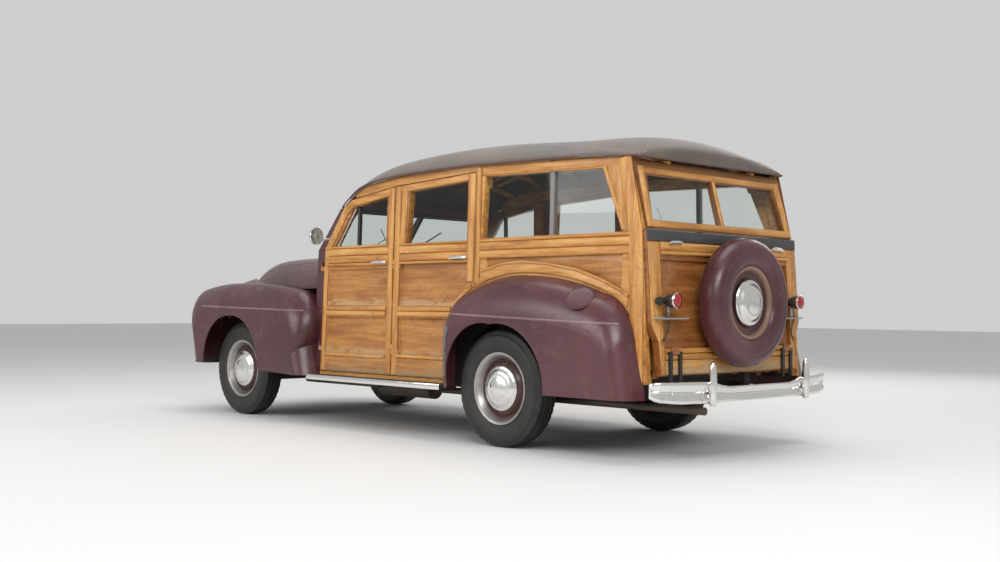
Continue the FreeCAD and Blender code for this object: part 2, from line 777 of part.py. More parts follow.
def body_sides():
    left = fuse([leaned(side_wall()), leaned(d_post())])
    left = left.cut(Part.makeCompound([headroom]))
    left = left.cut(gate_room())
    # Below the hinge the lower corner of the gate swings in, but only inside its own narrower width.
    x, z = gate_hinge
    left = left.cut(bar(V(x, 0, z), V(x, gate_foot_half + 24, z), lip_room_radius))
    header = block(-888, -846, 70 - side_y, side_y - 70, 1650, 1760).cut(headroom)
    sill = block(-972, -905, -gate_half, gate_half, 500, load_floor_z - floor_wall)
    pins = []
    pin_y = side_y + hinge_proud
    for z in door_hinge_z:
        # A barrel, and a plate that passes between the two door leaves to reach it.
        pins.append(bar(V(rear_hinge_x, pin_y, z + fit), V(rear_hinge_x, pin_y, z + 32), hinge_radius))
        pins.append(block(rear_hinge_x, b_split_x + 1, pin_y - 2, pin_y + 2, z + fit, z + 30))
        pins.append(block(b_split_x - 1, b_split_x + 1, side_y - wall - 8, pin_y, z + fit, z + 30))
    left = fuse([left] + [leaned(p) for p in pins])
    return fuse([left, other_side(left), header, sill] + gate_hinge_arms() + lift_hinge_lugs())


parts["body_sides"] = body_sides()


# Tailgate, liftgate and what they carry

gate_pocket_half = gate_half - 114
gate_pocket = [(-gate_pocket_half, 606), (gate_pocket_half, 606), (gate_pocket_half, 1120),
               (-gate_pocket_half, 1120)]
pane_foot_half = lift_half - 60
pane_head_half = lift_half - 94
pane_z = (1342.0, 1600.0)
lamp_y = gate_half - 122
lamp_z = 890.0
lamp_radius = 42.0
lamp_seat_gap = 2.0
bracket_z = 790.0
bracket_reach = 62.0
carrier_radius = 46.0
carrier_depth = 38.0


def lift_pane(side):
    low, high = pane_z
    return [(side * 16, low), (side * pane_foot_half, low), (side * pane_head_half, high),
            (side * 16, high)]


def tailgate():
    outline = [(gate_foot[0], gate_foot[1]), (gate_belt[0], gate_belt[1]),
               (gate_belt[0] + gate_wall, gate_belt[1] - 13),
               (gate_foot[0] + gate_wall, gate_foot[1])]
    leaf = side_plate(outline, -gate_half, gate_half)
    edge = [(-gate_foot_half, gate_foot[1]), (gate_foot_half, gate_foot[1]), (gate_foot_half + 6, 660),
            (gate_half, 760),
            (gate_half, gate_belt[1]), (-gate_half, gate_belt[1]), (-gate_half, 760),
            (-gate_foot_half - 6, 660)]
    leaf = leaf.common(end_plate(edge, -1300, -900))
    recess = end_plate(gate_pocket, -1300, -900).common(slab_between(gate_foot, gate_belt, -60, 13,
                                                                     gate_half))
    leaf = leaf.cut(recess)
    x, z = gate_hinge
    pieces = [leaf]
    bores = []
    for y in (-gate_hinge_y, gate_hinge_y):
        pieces.append(bar(V(x, y - hinge_leaf, z), V(x, y + hinge_leaf, z), gate_hinge_radius))
        pieces.append(block(x, -1104, y - hinge_leaf, y + hinge_leaf, z, z + 34))
        bores.append(bar(V(x, y - hinge_leaf, z), V(x, y + hinge_leaf, z), gate_pin_radius + pin_play))
    # The carrier that holds the spare wheel.
    face = gate_line(gate_foot, gate_belt, spare_z)
    pieces.append(bar(V(spare_x - carrier_depth, 0, spare_z), V(face + 20, 0, spare_z), carrier_radius))
    return fuse(pieces).cut(Part.makeCompound(bores))


def liftgate():
    leaf = slab_between(lift_foot, lift_head, 0, lift_wall, lift_half)
    cuts = [end_plate(lift_pane(side), -1300, -800) for side in (1, -1)]
    leaf = leaf.cut(Part.makeCompound(cuts))
    pieces = [leaf]
    x, z = lift_hinge
    bores = []
    for y in (-lift_hinge_y, lift_hinge_y):
        pieces.append(bar(V(x, y - hinge_leaf, z), V(x, y, z), lift_pin_radius + 4))
        pieces.append(block(x - 2, x + 14, y - hinge_leaf, y, z - 14, z))
        bores.append(bar(V(x, y - hinge_leaf, z), V(x, y, z), lift_pin_radius + pin_play))
    return fuse(pieces).cut(Part.makeCompound(bores))


def lift_glass():
    panes = []
    for side in (1, -1):
        slab = slab_between(lift_foot, lift_head, 14, 14 + glass, lift_half)
        panes.append(slab.common(end_plate(grown(lift_pane(side), -fit), -1300, -800)))
    return Part.makeCompound(panes)


def spare_tyre():
    # The spare in its fitted cover, which is a little larger than a tyre.
    return turned_x(tyre_profile(spare_cover_radius), spare_x, 0, spare_z)


def turned_x(profile, centre_x, y, z):
    points = [V(centre_x - along, y, z + radius) for radius, along in profile]
    face = Part.Face(wire_of(points))
    return face.revolve(V(centre_x, y, z), V(1, 0, 0), 360)


def spare_wheel():
    shapes = [turned_x(profile, spare_x, 0, spare_z) for profile in wheel_profiles()]
    whole = fuse(shapes)
    seat = bar(V(spare_x - carrier_depth - fit, 0, spare_z), V(spare_x + 200, 0, spare_z),
               carrier_radius + fit)
    return whole.cut(seat)


def tail_lamp(side):
    face = gate_line(gate_foot, gate_belt, bracket_z) - fit
    inner = lamp_y - 148
    outer = lamp_y + 108
    shelf = plan_plate([(face, side * inner), (face, side * outer),
                        (face - bracket_reach, side * (outer - 70)),
                        (face - bracket_reach, side * inner)], bracket_z - 3, bracket_z + 3)
    arm = block(face - 40, face - 24, side * lamp_y - 14, side * lamp_y + 14, bracket_z, lamp_z - 20)
    bowl = bar(V(face - 112, side * lamp_y, lamp_z), V(face - 8, side * lamp_y, lamp_z), lamp_radius)
    back = bar(V(face - 112, side * lamp_y, lamp_z),
               V(gate_line(gate_foot, gate_belt, lamp_z) - lamp_seat_gap, side * lamp_y, lamp_z), 18)
    return fuse([shelf, arm, bowl, back])


parts["tailgate"] = tailgate()
parts["liftgate"] = liftgate()
parts["liftgate_glass"] = lift_glass()
parts["spare_tyre"] = spare_tyre()
parts["spare_wheel"] = spare_wheel()
parts["tail_lamps"] = Part.makeCompound([tail_lamp(1), tail_lamp(-1)])


# Cowl, windscreen, dashboard and steering

screen_foot = (a_post_x + 24, 1250.0)
screen_head = (a_post_x - 222, 1556.0)
screen_half_foot = side_y - 70
screen_half_head = side_y - 130
screen_reach = (a_post_x - 412, a_post_x + 288)
screen_bar = 30.0
column_tilt = 37.0
steering_radius = 205.0
steering_hub = (firewall_x - 546, side_y - 398, 1128.0)
column_radius = 22.0


def screen_slab(d0, d1, half):
    pts = [(screen_foot[0] + d0, screen_foot[1]), (screen_head[0] + d0, screen_head[1]),
           (screen_head[0] + d1, screen_head[1]), (screen_foot[0] + d1, screen_foot[1])]
    return side_plate(pts, -half, half)


def screen_pane(side, gap):
    rise = screen_head[1] - screen_foot[1]
    z0 = screen_foot[1] + 24 - gap
    z1 = screen_foot[1] + rise - 34 + gap
    return [(side * (screen_bar / 2 - gap), z0), (side * (screen_half_foot - 34 + gap), z0),
            (side * (screen_half_head - 34 + gap), z1), (side * (screen_bar / 2 - gap), z1)]


def steering_column(radius):
    # From under the wheel's boss down through the firewall.
    angle = math.radians(column_tilt)
    hub = V(*steering_hub)
    along = V(math.cos(angle), 0, -math.sin(angle))
    return bar(hub + along * (12 + fit), hub + along * 700, radius)


def cowl():
    a = a_post_x
    roof_front = roof_stations[-1][0]
    pillar = [(a + 9, sill_z + fit), (a - 8, belt_z + 6), (a - 220, 1556), (a - 308, 1605),
              (screen_side_x + fit, 1622),
              (screen_side_x + fit, 1760), (roof_front - 2, 1760), (roof_front - 2, 1548), (a - 174, 1540),
              (a + 78, 1250),
              (firewall_x, 1000), (firewall_x, sill_z + fit)]
    pieces = [side_plate(pillar, side_y - wall, side_y - 6)]
    x = front_hinge_x
    for z in door_hinge_z:
        pieces.append(bar(V(x, side_y + hinge_proud, z + fit), V(x, side_y + hinge_proud, z + 32),
                          hinge_radius))
        pieces.append(block(x, x + 30, side_y - 8, side_y + hinge_proud - 2, z + fit, z + 30))
    side = leaned(fuse(pieces))
    firewall = block(firewall_x - 23, firewall_x, -body_half_at_cowl, body_half_at_cowl, 520, 1160)
    front = (side_y - 42, 985, 1250, 150, 0.82)
    back = (cowl_half, 985, 1254, 150, 0.82)
    top = crowned([(firewall_x - 108, *back), (firewall_x + 2, *front)])
    hollow = crowned([(firewall_x - 198, *back), (firewall_x - 22, *front)], inset=8, drop=10, lower=40)
    top = top.cut(hollow)
    frame_slab = screen_slab(-26, 10, screen_half_foot + 60)
    holes = [end_plate(screen_pane(s, 0), *screen_reach) for s in (1, -1)]
    frame_slab = frame_slab.cut(Part.makeCompound(holes))
    inside = side_y - 35
    header = block(screen_head[0] - 50, screen_head[0] + 14, 70 - side_y, side_y - 70, 1546, 1740)
    middle = fuse([firewall, top, frame_slab.common(block(*screen_reach, -inside, inside, 1200, 1700)),
                   header])
    whole = fuse([side, other_side(side), middle])
    whole = whole.cut(headroom)
    door_room = leaned(door_blank(front_door_edge, door_gap, side_y - wall - 25, side_y - 4))
    whole = whole.cut(fuse([door_room, other_side(door_room)]))
    hood_room = block(hood_rear_x - hood_gap, hood_rear_x + 290, -half_width, half_width, 960, 1400)
    column = steering_column(column_radius + fit)
    return whole.cut(fuse([hood_room, column]))


def windscreen():
    panes = []
    for side in (1, -1):
        pane = end_plate(grown(screen_pane(side, 0), -fit), *screen_reach)
        panes.append(screen_slab(-12, -12 + glass, side_y - 10).common(pane))
    return Part.makeCompound(panes)


def dashboard():
    x = firewall_x
    face = [(x - 298, 1010), (x - 304, 1180), (x - 258, 1226), (x - 118, 1234), (x - 118, 1222),
            (x - 246, 1212),
            (x - 282, 1172), (x - 276, 1010)]
    board = side_plate(face, 120 - side_y, side_y - 120)
    column = steering_column(column_radius)
    hub_y = steering_hub[1]
    hanger = block(x - 308, x - 278, hub_y - 32, hub_y + 32, 930, 1020)
    return fuse([board, column, hanger])


def steering_wheel():
    hub = V(*steering_hub)
    rim = Part.makeTorus(steering_radius, 11, V(0, 0, 0), V(0, 0, 1))
    boss = Part.makeCylinder(34, 40, V(0, 0, -12))
    spokes = [Part.makeBox(steering_radius * 2 - 8, 22, 8, V(-steering_radius + 4, -11, -4))]
    whole = fuse([rim, boss] + spokes)
    whole.rotate(V(0, 0, 0), V(0, 1, 0), -(90 - column_tilt))
    whole.translate(hub)
    return whole


parts["cowl"] = cowl()
parts["windshield_glass"] = windscreen()
parts["dashboard"] = dashboard()
parts["steering_wheel"] = steering_wheel()


# Floor, seats and load space

well_half = 390.0
well_inner_y = side_y - 185
well_top_z = 800.0
well_wall = 12.0
tunnel_half = 120.0
tunnel_rise = 62.0
tunnel_wall = 10.0


def tunnel(half, rise):
    low = 250 if half < tunnel_half else low_floor_z - floor_wall
    base = low_floor_z + rise
    x0 = step_x - 60
    x1 = firewall_x - 24
    return side_plate([(x0, low), (x0, base), (x1 - 574, base + 8), (x1, base + 110), (x1, low)], -half,
                      half)


def floor():
    low_z0 = low_floor_z - floor_wall
    load_z0 = load_floor_z - floor_wall
    low_half = side_y - wall - 47.6
    load_half = side_y - wall - 12
    x = firewall_x - 24
    pieces = [block(step_x - floor_wall, x - 94, -low_half, low_half, low_z0, low_floor_z)]
    pieces.append(side_plate([(x - 94, low_z0), (x, 560), (x, 600), (x - 102, low_floor_z)], -low_half,
                             low_half))
    pieces.append(block(step_x - floor_wall, step_x, -low_half, low_half, low_floor_z, load_floor_z))
    tail = gate_foot_half + 4
    load = [(floor_end_x, -tail), (-950, -tail), (-950, -load_half), (step_x, -load_half),
            (step_x, load_half),
            (-950, load_half), (-950, tail), (floor_end_x, tail)]
    pieces.append(plan_plate(load, load_z0, load_floor_z))
    pieces.append(tunnel(tunnel_half, tunnel_rise))
    for side in (1, -1):
        a, b = sorted((side * well_inner_y, side * (load_half - 2)))
        pieces.append(block(-well_half, well_half, a, b, low_z0, well_top_z))
    rooms = [tunnel(tunnel_half - tunnel_wall, tunnel_rise - tunnel_wall)]
    for side in (1, -1):
        a, b = sorted((side * (well_inner_y + well_wall), side * half_width))
        rooms.append(block(-well_half + well_wall, well_half - well_wall, a, b, 300,
                           well_top_z - well_wall))
    return fuse(pieces).cut(Part.makeCompound(rooms))


# Seats: back foot x, cushion length, seat height, back height, half width, floor height
seat_rows = [("front_seat", b_split_x - 37, 500, 830, 1225, side_y - 130, low_floor_z),
             ("middle_seat", c_post_x + 94, b_split_x - c_post_x - 356, 830, 1235, side_y - 130,
              low_floor_z),
             ("rear_seat", -560, 450, 950, 1290, well_inner_y - 40, load_floor_z)]


def seat(back_x, length, seat_z, back_z, half, floor_z):
    # A bench of one cushion and one back on a plain box.
    depth = 150.0
    side = [(back_x, floor_z + fit), (back_x, back_z - 40), (back_x + 30, back_z),
            (back_x + 100, back_z - 20),
            (back_x + depth, seat_z), (back_x + length, seat_z + 15), (back_x + length + 20, seat_z - 60),
            (back_x + length, seat_z - 140), (back_x + length - 50, floor_z + fit)]
    bench = side_plate(side, -half, half)
    return bench.cut(tunnel(tunnel_half + 1, tunnel_rise + 1))


parts["floor"] = floor()
for name, back_x, length, seat_z, back_z, half, floor_z in seat_rows:
    parts[name] = seat(back_x, length, seat_z, back_z, half, floor_z)


# Nose, bumpers, running boards and mirror

bumper_low = 331.0
bumper_high = 418.0
guard_y = 470.0
grille_bars = 4
grille_pitch = 56.0


def grille_panel():
    # A pressed nose under the hood with the frame of the grille and its bars.
    half = grille_half - fit
    low = 372 + fit
    nose = grille_half - 130
    x = frame_front_x
    outline = [(-half, low), (half, low), (half, 905), (nose, 930), (-nose, 930), (-half, 905)]
    plate = end_plate(outline, x + fit, x + 22)
    mouth = grille_half - 40
    plate = plate.cut(end_plate([(-mouth, 520), (mouth, 520), (mouth - 10, 740), (10 - mouth, 740)],
                                x - 140, x + 160))
    pieces = [plate]
    for i in range(grille_bars):
        z = 545 + i * grille_pitch
        pieces.append(block(x + 6, x + 46, -mouth - 5, mouth + 5, z - 10, z + 10))
    pieces.append(block(x + 10, x + 38, -16, 16, 520, 740))
    return fuse(pieces)


def headlamp(side):
    y = side * lamp_head_y
    bowl = bar(V(frame_front_x, y, lamp_head_z), V(lamp_ring_x, y, lamp_head_z), lamp_bowl_radius)
    ring = bar(V(lamp_ring_x, y, lamp_head_z), V(lamp_ring_x + 18, y, lamp_head_z), lamp_ring_radius)
    return fuse([bowl, ring])


def bumper(face_x, out, z_shift):
    # Half the blade in plan: a gentle bow with a rolled end.  out is +1 at the front.
    def pt(dx, y, z):
        return V(face_x + out * dx, y, z)
    wires = []
    low = bumper_low + z_shift
    high = bumper_high + z_shift
    # Sections: back from the face, place across, lower and upper edge, depth.
    for dx, y, z0, z1, thick in ((0, 0, low, high, 26), (-4, 300, low, high, 26),
                                 (-10, 420, low - 4, high + 22, 26),
                                 (-42, half_width - 261, low - 2, high + 34, 26),
                                 (-88, half_width - 129, low + 10, high + 34, 24),
                                 (-128, half_width - 97, low + 26, high + 26, 20)):
        mid = (z0 + z1) / 2
        outline = [pt(dx - thick, y, z0), pt(dx - 8, y, z0), pt(dx, y, z0 + 18), pt(dx - 6, y, mid),
                   pt(dx, y, z1 - 18),
                   pt(dx - 8, y, z1), pt(dx - thick, y, z1)]
        wires.append(wire_of(outline))
    return Part.makeLoft(wires, True, True)


def bumper_set(face_x, out, z_shift, guards):
    half = bumper(face_x - out * 22, out, z_shift)
    pieces = [half, other_side(half)]
    for side in (1, -1):
        a, b = sorted((side * (guard_y - 23), side * (guard_y + 23)))
        x0, x1 = sorted((face_x - out * 48, face_x))
        low = 316 + z_shift
        high = 540 + z_shift
        outline = [(a, low), (b, low), (b - 6, high), ((a + b) / 2, high + 12), (a + 6, high)]
        if guards:
            pieces.append(end_plate(outline, x0, x1))
        c, d = sorted((side * (rail_y + 6), side * (rail_y + rail_w - 6)))
        end = frame_rear_x - fit if out < 0 else frame_front_x + fit
        x0, x1 = sorted((end, face_x - out * 44))
        pieces.append(block(x0, x1, c, d, 338, 372))
    return fuse(pieces)


def running_board():
    x0 = c_post_x + 166
    x1 = a_post_x - 7
    inner = side_y + 2
    outer = half_width - 27
    board = plan_plate([(x0, inner), (x1, inner), (x1, outer - 8), (x1 - 25, outer), (x0 + 28, outer),
                        (x0, outer - 8)], 325, 354)
    arms = []
    for x in outrigger_x:
        root = side_y - 170
        tip = half_width - 81
        seat_z = rail_low_z - 70 - fit
        foot = [(root, 300), (tip, 300), (tip, 330), (root + 40, 318), (root + 40, seat_z), (root, seat_z)]
        arms.append(end_plate(foot, x, x + 46))
    return fuse([board] + arms)


def mirror():
    x = a_post_x - 100
    y = side_y - 24
    head = bar(V(x - 16, side_y + 135, 1340), V(x + 6, side_y + 127, 1342), 61)
    arm = bar(V(x, side_y + 125, 1341), V(x, y, 1332), 6)
    base = block(x - 13, x + 11, y + 0.2, y + 9, 1300, 1344)
    return fuse([head, arm, base])


def fuel_tank():
    return block(-880, -470, -330, 330, 400, load_floor_z - floor_wall - fit)


parts["grille_panel"] = grille_panel()
parts["headlamps"] = Part.makeCompound([headlamp(1), headlamp(-1)])
parts["rear_bumper"] = bumper_set(-rear_overhang, -1, 0, True)
parts["front_bumper"] = bumper_set(wheelbase + front_overhang, 1, 30, True)
parts["running_boards"] = both_sides(running_board())
parts["mirror"] = mirror()
parts["fuel_tank"] = fuel_tank()
for name in ("front_door", "rear_door"):
    parts[f"{name}_right"] = other_side(parts[f"{name}_left"])
    parts[f"{name}_right_glass"] = other_side(parts[f"{name}_left_glass"])


def write_parts():
    os.makedirs("parts", exist_ok=True)
    to_middle = V(rear_overhang - (rear_overhang + wheelbase + front_overhang) / 2, 0, 0)
    for name, shape in parts.items():
        placed = shape.copy()
        placed.translate(to_middle)
        placed.exportStep(f"parts/{name}.step")


write_parts()
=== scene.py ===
import bpy
import math
import random
from mathutils import Matrix, Vector
from mathutils.bvhtree import BVHTree


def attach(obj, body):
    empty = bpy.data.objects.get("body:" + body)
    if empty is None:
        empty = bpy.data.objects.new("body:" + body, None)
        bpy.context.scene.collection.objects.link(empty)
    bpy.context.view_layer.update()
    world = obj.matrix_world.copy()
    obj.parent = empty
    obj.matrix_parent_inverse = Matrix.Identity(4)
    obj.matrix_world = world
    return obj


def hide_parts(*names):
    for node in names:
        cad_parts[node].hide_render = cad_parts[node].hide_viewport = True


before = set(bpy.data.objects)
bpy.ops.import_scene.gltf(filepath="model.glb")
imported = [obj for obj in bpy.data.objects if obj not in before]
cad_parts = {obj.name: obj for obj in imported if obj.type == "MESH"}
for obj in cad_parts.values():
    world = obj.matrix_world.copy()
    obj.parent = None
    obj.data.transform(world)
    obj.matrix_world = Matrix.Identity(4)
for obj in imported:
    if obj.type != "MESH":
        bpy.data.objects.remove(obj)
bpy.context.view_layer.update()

# The looks of a weathered wood-bodied station wagon.
# Places are given in millimetres from the rear axle, as the part's source gives them:
# x forward, y to the left, z up from the ground.
origin_x = 1177.0
wheelbase = 2896.0
tyre_radius = 355.0
track_front = 1473.0
track_rear = 1524.0
side_y = 770.0
sill_z = 377.0
lean = math.radians(1.5)
to_front, to_rear = Vector((1, 0, 0)), Vector((-1, 0, 0))
to_left, to_top = Vector((0, 1, 0)), Vector((0, 0, 1))
both_sides = (("left", 1), ("right", -1))
dice = random.Random(7)


def at(x, y, z):
    return Vector(((x - origin_x) / 1000, y / 1000, z / 1000))


def on_side(x, z, out, hand=1):
    # A point of the leaning side wall: out is how far it stands from the wall's face.
    y = side_y + out * math.cos(lean) - (z - sill_z) * math.sin(lean)
    high = sill_z + out * math.sin(lean) + (z - sill_z) * math.cos(lean)
    return at(x, hand * y, high)


def side_out(hand=1):
    # The way straight out of the side wall.
    return on_side(0, 900, 100, hand) - on_side(0, 900, 0, hand)


def mix(a, b, share):
    return a + (b - a) * share


# Finishes


class Value:
    # A socket that takes part in sums.
    def __init__(self, finish, socket):
        self.finish = finish
        self.socket = socket

    def maths(self, operation, first, second):
        return self.finish.add("ShaderNodeMath", {"operation": operation}, {0: first, 1: second})

    def __add__(self, other):
        return self.maths("ADD", self, other)

    def __radd__(self, other):
        return self.maths("ADD", other, self)

    def __sub__(self, other):
        return self.maths("SUBTRACT", self, other)

    def __rsub__(self, other):
        return self.maths("SUBTRACT", other, self)

    def __mul__(self, other):
        return self.maths("MULTIPLY", self, other)

    def __rmul__(self, other):
        return self.maths("MULTIPLY", other, self)


class Finish:
    # A material whose nodes are added one by one.
    def __init__(self, name):
        self.material = bpy.data.materials.new(name)
        self.material.use_nodes = True
        self.tree = self.material.node_tree
        self.shader = self.tree.nodes["Principled BSDF"]
        self.place = self.add("ShaderNodeTexCoord", out="Object")

    def add(self, kind, settings=None, sockets=None, out=0):
        node = self.tree.nodes.new(kind)
        for key, value in (settings or {}).items():
            if key == "stops":
                self.set_stops(node.color_ramp, value)
            else:
                setattr(node, key, value)
        for key, value in (sockets or {}).items():
            self.feed(node.inputs[key], value)
        return Value(self, node.outputs[out])

    def set_stops(self, ramp, stops):
        while len(ramp.elements) < len(stops):
            ramp.elements.new(1.0)
        for element, (position, colour) in zip(ramp.elements, stops):
            element.position = position
            element.color = (*colour, 1)

    def feed(self, socket, value):
        if isinstance(value, Value):
            self.tree.links.new(value.socket, socket)
        elif socket.type == "RGBA" and len(value) == 3:
            socket.default_value = (*value, 1)
        else:
            socket.default_value = value

    def axis(self, name, place=None):
        return self.add("ShaderNodeSeparateXYZ", None, {0: place or self.place}, out=name)

    def scaled(self, factors, shift=None):
        placed = self.place
        if shift is not None:
            placed = self.add("ShaderNodeVectorMath", {"operation": "ADD"}, {0: placed, 1: shift})
        return self.add("ShaderNodeVectorMath", {"operation": "MULTIPLY"}, {0: placed, 1: factors})

    def noise(self, scale, detail=4.0, rough=0.55, place=None):
        sockets = {"Vector": place or self.place, "Scale": scale, "Detail": detail, "Roughness": rough}
        return self.add("ShaderNodeTexNoise", None, sockets)

    def absolute(self, value):
        return self.add("ShaderNodeMath", {"operation": "ABSOLUTE"}, {0: value})

    def between(self, value, low, high):
        # 0 below low, 1 above high.
        sockets = {"Value": value, "From Min": low, "From Max": high}
        return self.add("ShaderNodeMapRange", {"interpolation_type": "SMOOTHSTEP"}, sockets)

    def mix(self, share, first, second):
        sockets = {"Factor": share, 6: first, 7: second}
        return self.add("ShaderNodeMix", {"data_type": "RGBA"}, sockets, out=2)

    def ramp(self, value, stops):
        return self.add("ShaderNodeValToRGB", {"stops": stops}, {"Fac": value})

    def relief(self, height, depth, strength=1.0):
        sockets = {"Height": height, "Distance": depth, "Strength": strength}
        return self.add("ShaderNodeBump", None, sockets)

    def finish(self, **sockets):
        for key, value in sockets.items():
            self.feed(self.shader.inputs[key.replace("_", " ")], value)
        return self.material


def paint(name, deep, pale, roughness, chips=True):
    # Old enamel: faded, dusty on top, with stone chips low down and most of them ahead of the rear fender.
    f = Finish(name)
    cloud = f.noise(1.6, 6, 0.6)
    fine = f.noise(38, 3, 0.6)
    colour = f.mix(f.between(cloud, 0.32, 0.72), deep, pale)
    dust = f.between(f.noise(7, 8, 0.72), 0.5, 0.8)
    upward = f.axis("Z", f.add("ShaderNodeNewGeometry", out="Normal"))
    dust = dust * (0.22 + 0.3 * f.between(upward, 0.3, 1.0))
    colour = f.mix(dust, colour, (0.30, 0.20, 0.19))
    bare = f.between(f.noise(95, 5, 0.7), 0.70, 0.73)
    if chips:
        low = 1 - f.between(f.axis("Z"), 0.34, 0.56)
        rear_edge = 1 - f.between(f.absolute(f.axis("X") - 0.80), 0.03, 0.16)
        worn = 0.75 * f.between(f.noise(60, 8, 0.75), 0.57, 0.66) * low * rear_edge
        bare = f.add("ShaderNodeMath", {"operation": "MAXIMUM"}, {0: bare * low, 1: worn})
    colour = f.mix(bare, colour, (0.33, 0.24, 0.23))
    rough = roughness + 0.16 * f.between(fine, 0.3, 0.8) + 0.2 * dust
    height = cloud * 0.6 + fine * 0.05 - bare * 0.08
    return f.finish(Base_Color=colour, Roughness=rough, Normal=f.relief(height, 0.004, 0.35), Coat_Weight=0.25,
                    Coat_Roughness=0.22, Specular_IOR_Level=0.5)


# How far a point stands out from the side walls, the tailgate and the liftgate, in metres:
# the factors of |y|, z and x, then the level of the wall's own face.  What lies below these faces gets painted shade.
side_face = (math.cos(lean), math.sin(lean), 0.0, 0.77961)
tailgate_face = (0.0, 0.07054, -1.0, 2.32544)
liftgate_face = (0.0, 0.2755, -1.0, 2.58395)


def timber(name, along, dark, middle, light, wear=0.5, speckle=0.6, gloss=0.34, face=None, peel=(),
           housing=False, bar=None):
    # Varnished timber with its grain along x, y or z.  The attribute "board" shifts each board's grain.
    # face paints shade on what lies deep between mouldings, and peel lists heights where the varnish has gone.
    # housing blackens the rear wheel's housing, and bar gives a metal bar's ends along x and its colour.
    f = Finish(name)
    shift = f.add("ShaderNodeAttribute", {"attribute_name": "board"}, out="Vector")
    stretch = {"x": (1.0, 15.0, 15.0), "y": (15.0, 1.0, 15.0), "z": (15.0, 15.0, 1.0)}[along]
    soft = {"x": (0.7, 3.2, 3.2), "y": (3.2, 0.7, 3.2), "z": (3.2, 3.2, 0.7)}[along]
    grain_at = f.scaled(stretch, shift)
    broad = f.noise(2.4, 5, 0.6, grain_at)
    fibre = f.noise(11, 6, 0.7, grain_at)
    figure = f.noise(1.9, 4, 0.6, f.scaled(soft, shift))
    tone = broad * 0.42 + fibre * 0.22 + figure * 0.36
    colour = f.ramp(tone, [(0.34, dark), (0.48, middle), (0.62, light)])
    patch = f.between(f.noise(2.6, 9, 0.68, f.scaled((1, 1, 1), shift)), 0.54, 0.66)
    blot = f.between(f.noise(17, 6, 0.7), 0.56, 0.70)
    specks = f.between(f.noise(150, 3, 0.7, f.scaled((1, 1, 1.4))), 0.60, 0.68)
    colour = f.mix(patch * wear, colour, (0.46, 0.27, 0.11))
    colour = f.mix(blot * wear * 0.6, colour, tuple(0.4 * c for c in dark))
    colour = f.mix(specks * speckle * (0.3 + 0.7 * blot), colour, (0.030, 0.014, 0.006))
    height = fibre * 0.35 + broad * 0.3 - patch * wear * 0.35 - specks * 0.25
    rough = gloss + 0.3 * patch * wear + 0.16 * fibre
    bare = None
    for low, high in peel:
        share = f.between(f.axis("Z"), low - 0.01, low) * (1 - f.between(f.axis("Z"), low, high))
        flake = f.between(f.noise(9, 9, 0.74, f.scaled((1, 1, 2.2), shift)) + share * 0.20, 0.58, 0.64) * share
        bare = flake if bare is None else bare + flake
    if bare is not None:
        pale = f.mix(f.noise(60, 5, 0.7, grain_at), (0.62, 0.43, 0.24), (0.40, 0.24, 0.11))
        colour = f.mix(bare * 0.9, colour, pale)
        height = height - bare * 0.6
        rough = rough + bare * 0.25
    if face:
        # Painted shade: what lies deeper than the wall's face, between and under the mouldings, turns dark brown.
        out = f.absolute(f.axis("Y")) * face[0] + f.axis("Z") * face[1]
        out = out + f.axis("X") * face[2] - face[3]
        deep = 1 - f.between(out, -0.001, 0.008)
        colour = f.mix(deep * 0.72, colour, (0.085, 0.022, 0.007))
    if bar:
        # The slim metal bar between two panes.
        rear_end, front_end, shade = bar
        inside = f.between(f.axis("X"), rear_end - 0.0005, rear_end)
        inside = inside * (1 - f.between(f.axis("X"), front_end, front_end + 0.0005))
        inside = inside * f.between(f.axis("Z"), 1.277, 1.278)
        colour = f.mix(inside, colour, shade)
    if housing:
        # Inside the rear wheel's housing the wall is sprayed black.
        from_axle = {"X": f.axis("X") + origin_x / 1000, "Z": f.axis("Z") - tyre_radius / 1000}
        from_axle = f.add("ShaderNodeCombineXYZ", None, from_axle)
        radius = f.add("ShaderNodeVectorMath", {"operation": "LENGTH"}, {0: from_axle}, out="Value")
        colour = f.mix(1 - f.between(radius, 0.575, 0.58), colour, (0.012, 0.010, 0.010))
        # The steel arms that carry the tailgate's hinges are black.
        arms = 1 - f.between(f.axis("X"), -2.152, -2.151)
        arms = arms * (1 - f.between(f.absolute(f.axis("Y")), 0.62, 0.621))
        arms = arms * (1 - f.between(f.axis("Z"), 0.63, 0.631))
        colour = f.mix(arms, colour, (0.014, 0.012, 0.012))
    return f.finish(Base_Color=colour, Roughness=rough, Normal=f.relief(height, 0.0016, 0.55),
                    Coat_Weight=0.15, Coat_Roughness=0.22)


def plating(name, colour, roughness, dents, rust=0.25):
    # Bright plate, dulled and dented, with brown specks.
    f = Finish(name)
    cloud = f.noise(9, 6, 0.65)
    pits = f.between(f.noise(120, 5, 0.75), 0.62, 0.70)
    stain = f.between(f.noise(14, 8, 0.7), 0.56, 0.72)
    tone = f.mix(stain * rust, colour, (0.26, 0.20, 0.15))
    tone = f.mix(pits * rust, tone, (0.12, 0.07, 0.04))
    rough = roughness + 0.18 * f.between(cloud, 0.35, 0.75) + 0.3 * stain * rust
    height = f.noise(7, 3, 0.5) * dents - pits * 0.02
    return f.finish(Base_Color=tone, Metallic=1.0, Roughness=rough, Normal=f.relief(height, 0.01, 0.6))


def rubber(name, colour, roughness, dust=0.35):
    # Rubber under a thin film of road dust.
    f = Finish(name)
    cloud = f.between(f.noise(6, 7, 0.7), 0.42, 0.75)
    tone = f.mix(cloud * dust, colour, (0.13, 0.11, 0.09))
    return f.finish(Base_Color=tone, Roughness=roughness + 0.12 * cloud,
                    Normal=f.relief(f.noise(220, 4, 0.7), 0.0006, 0.5))


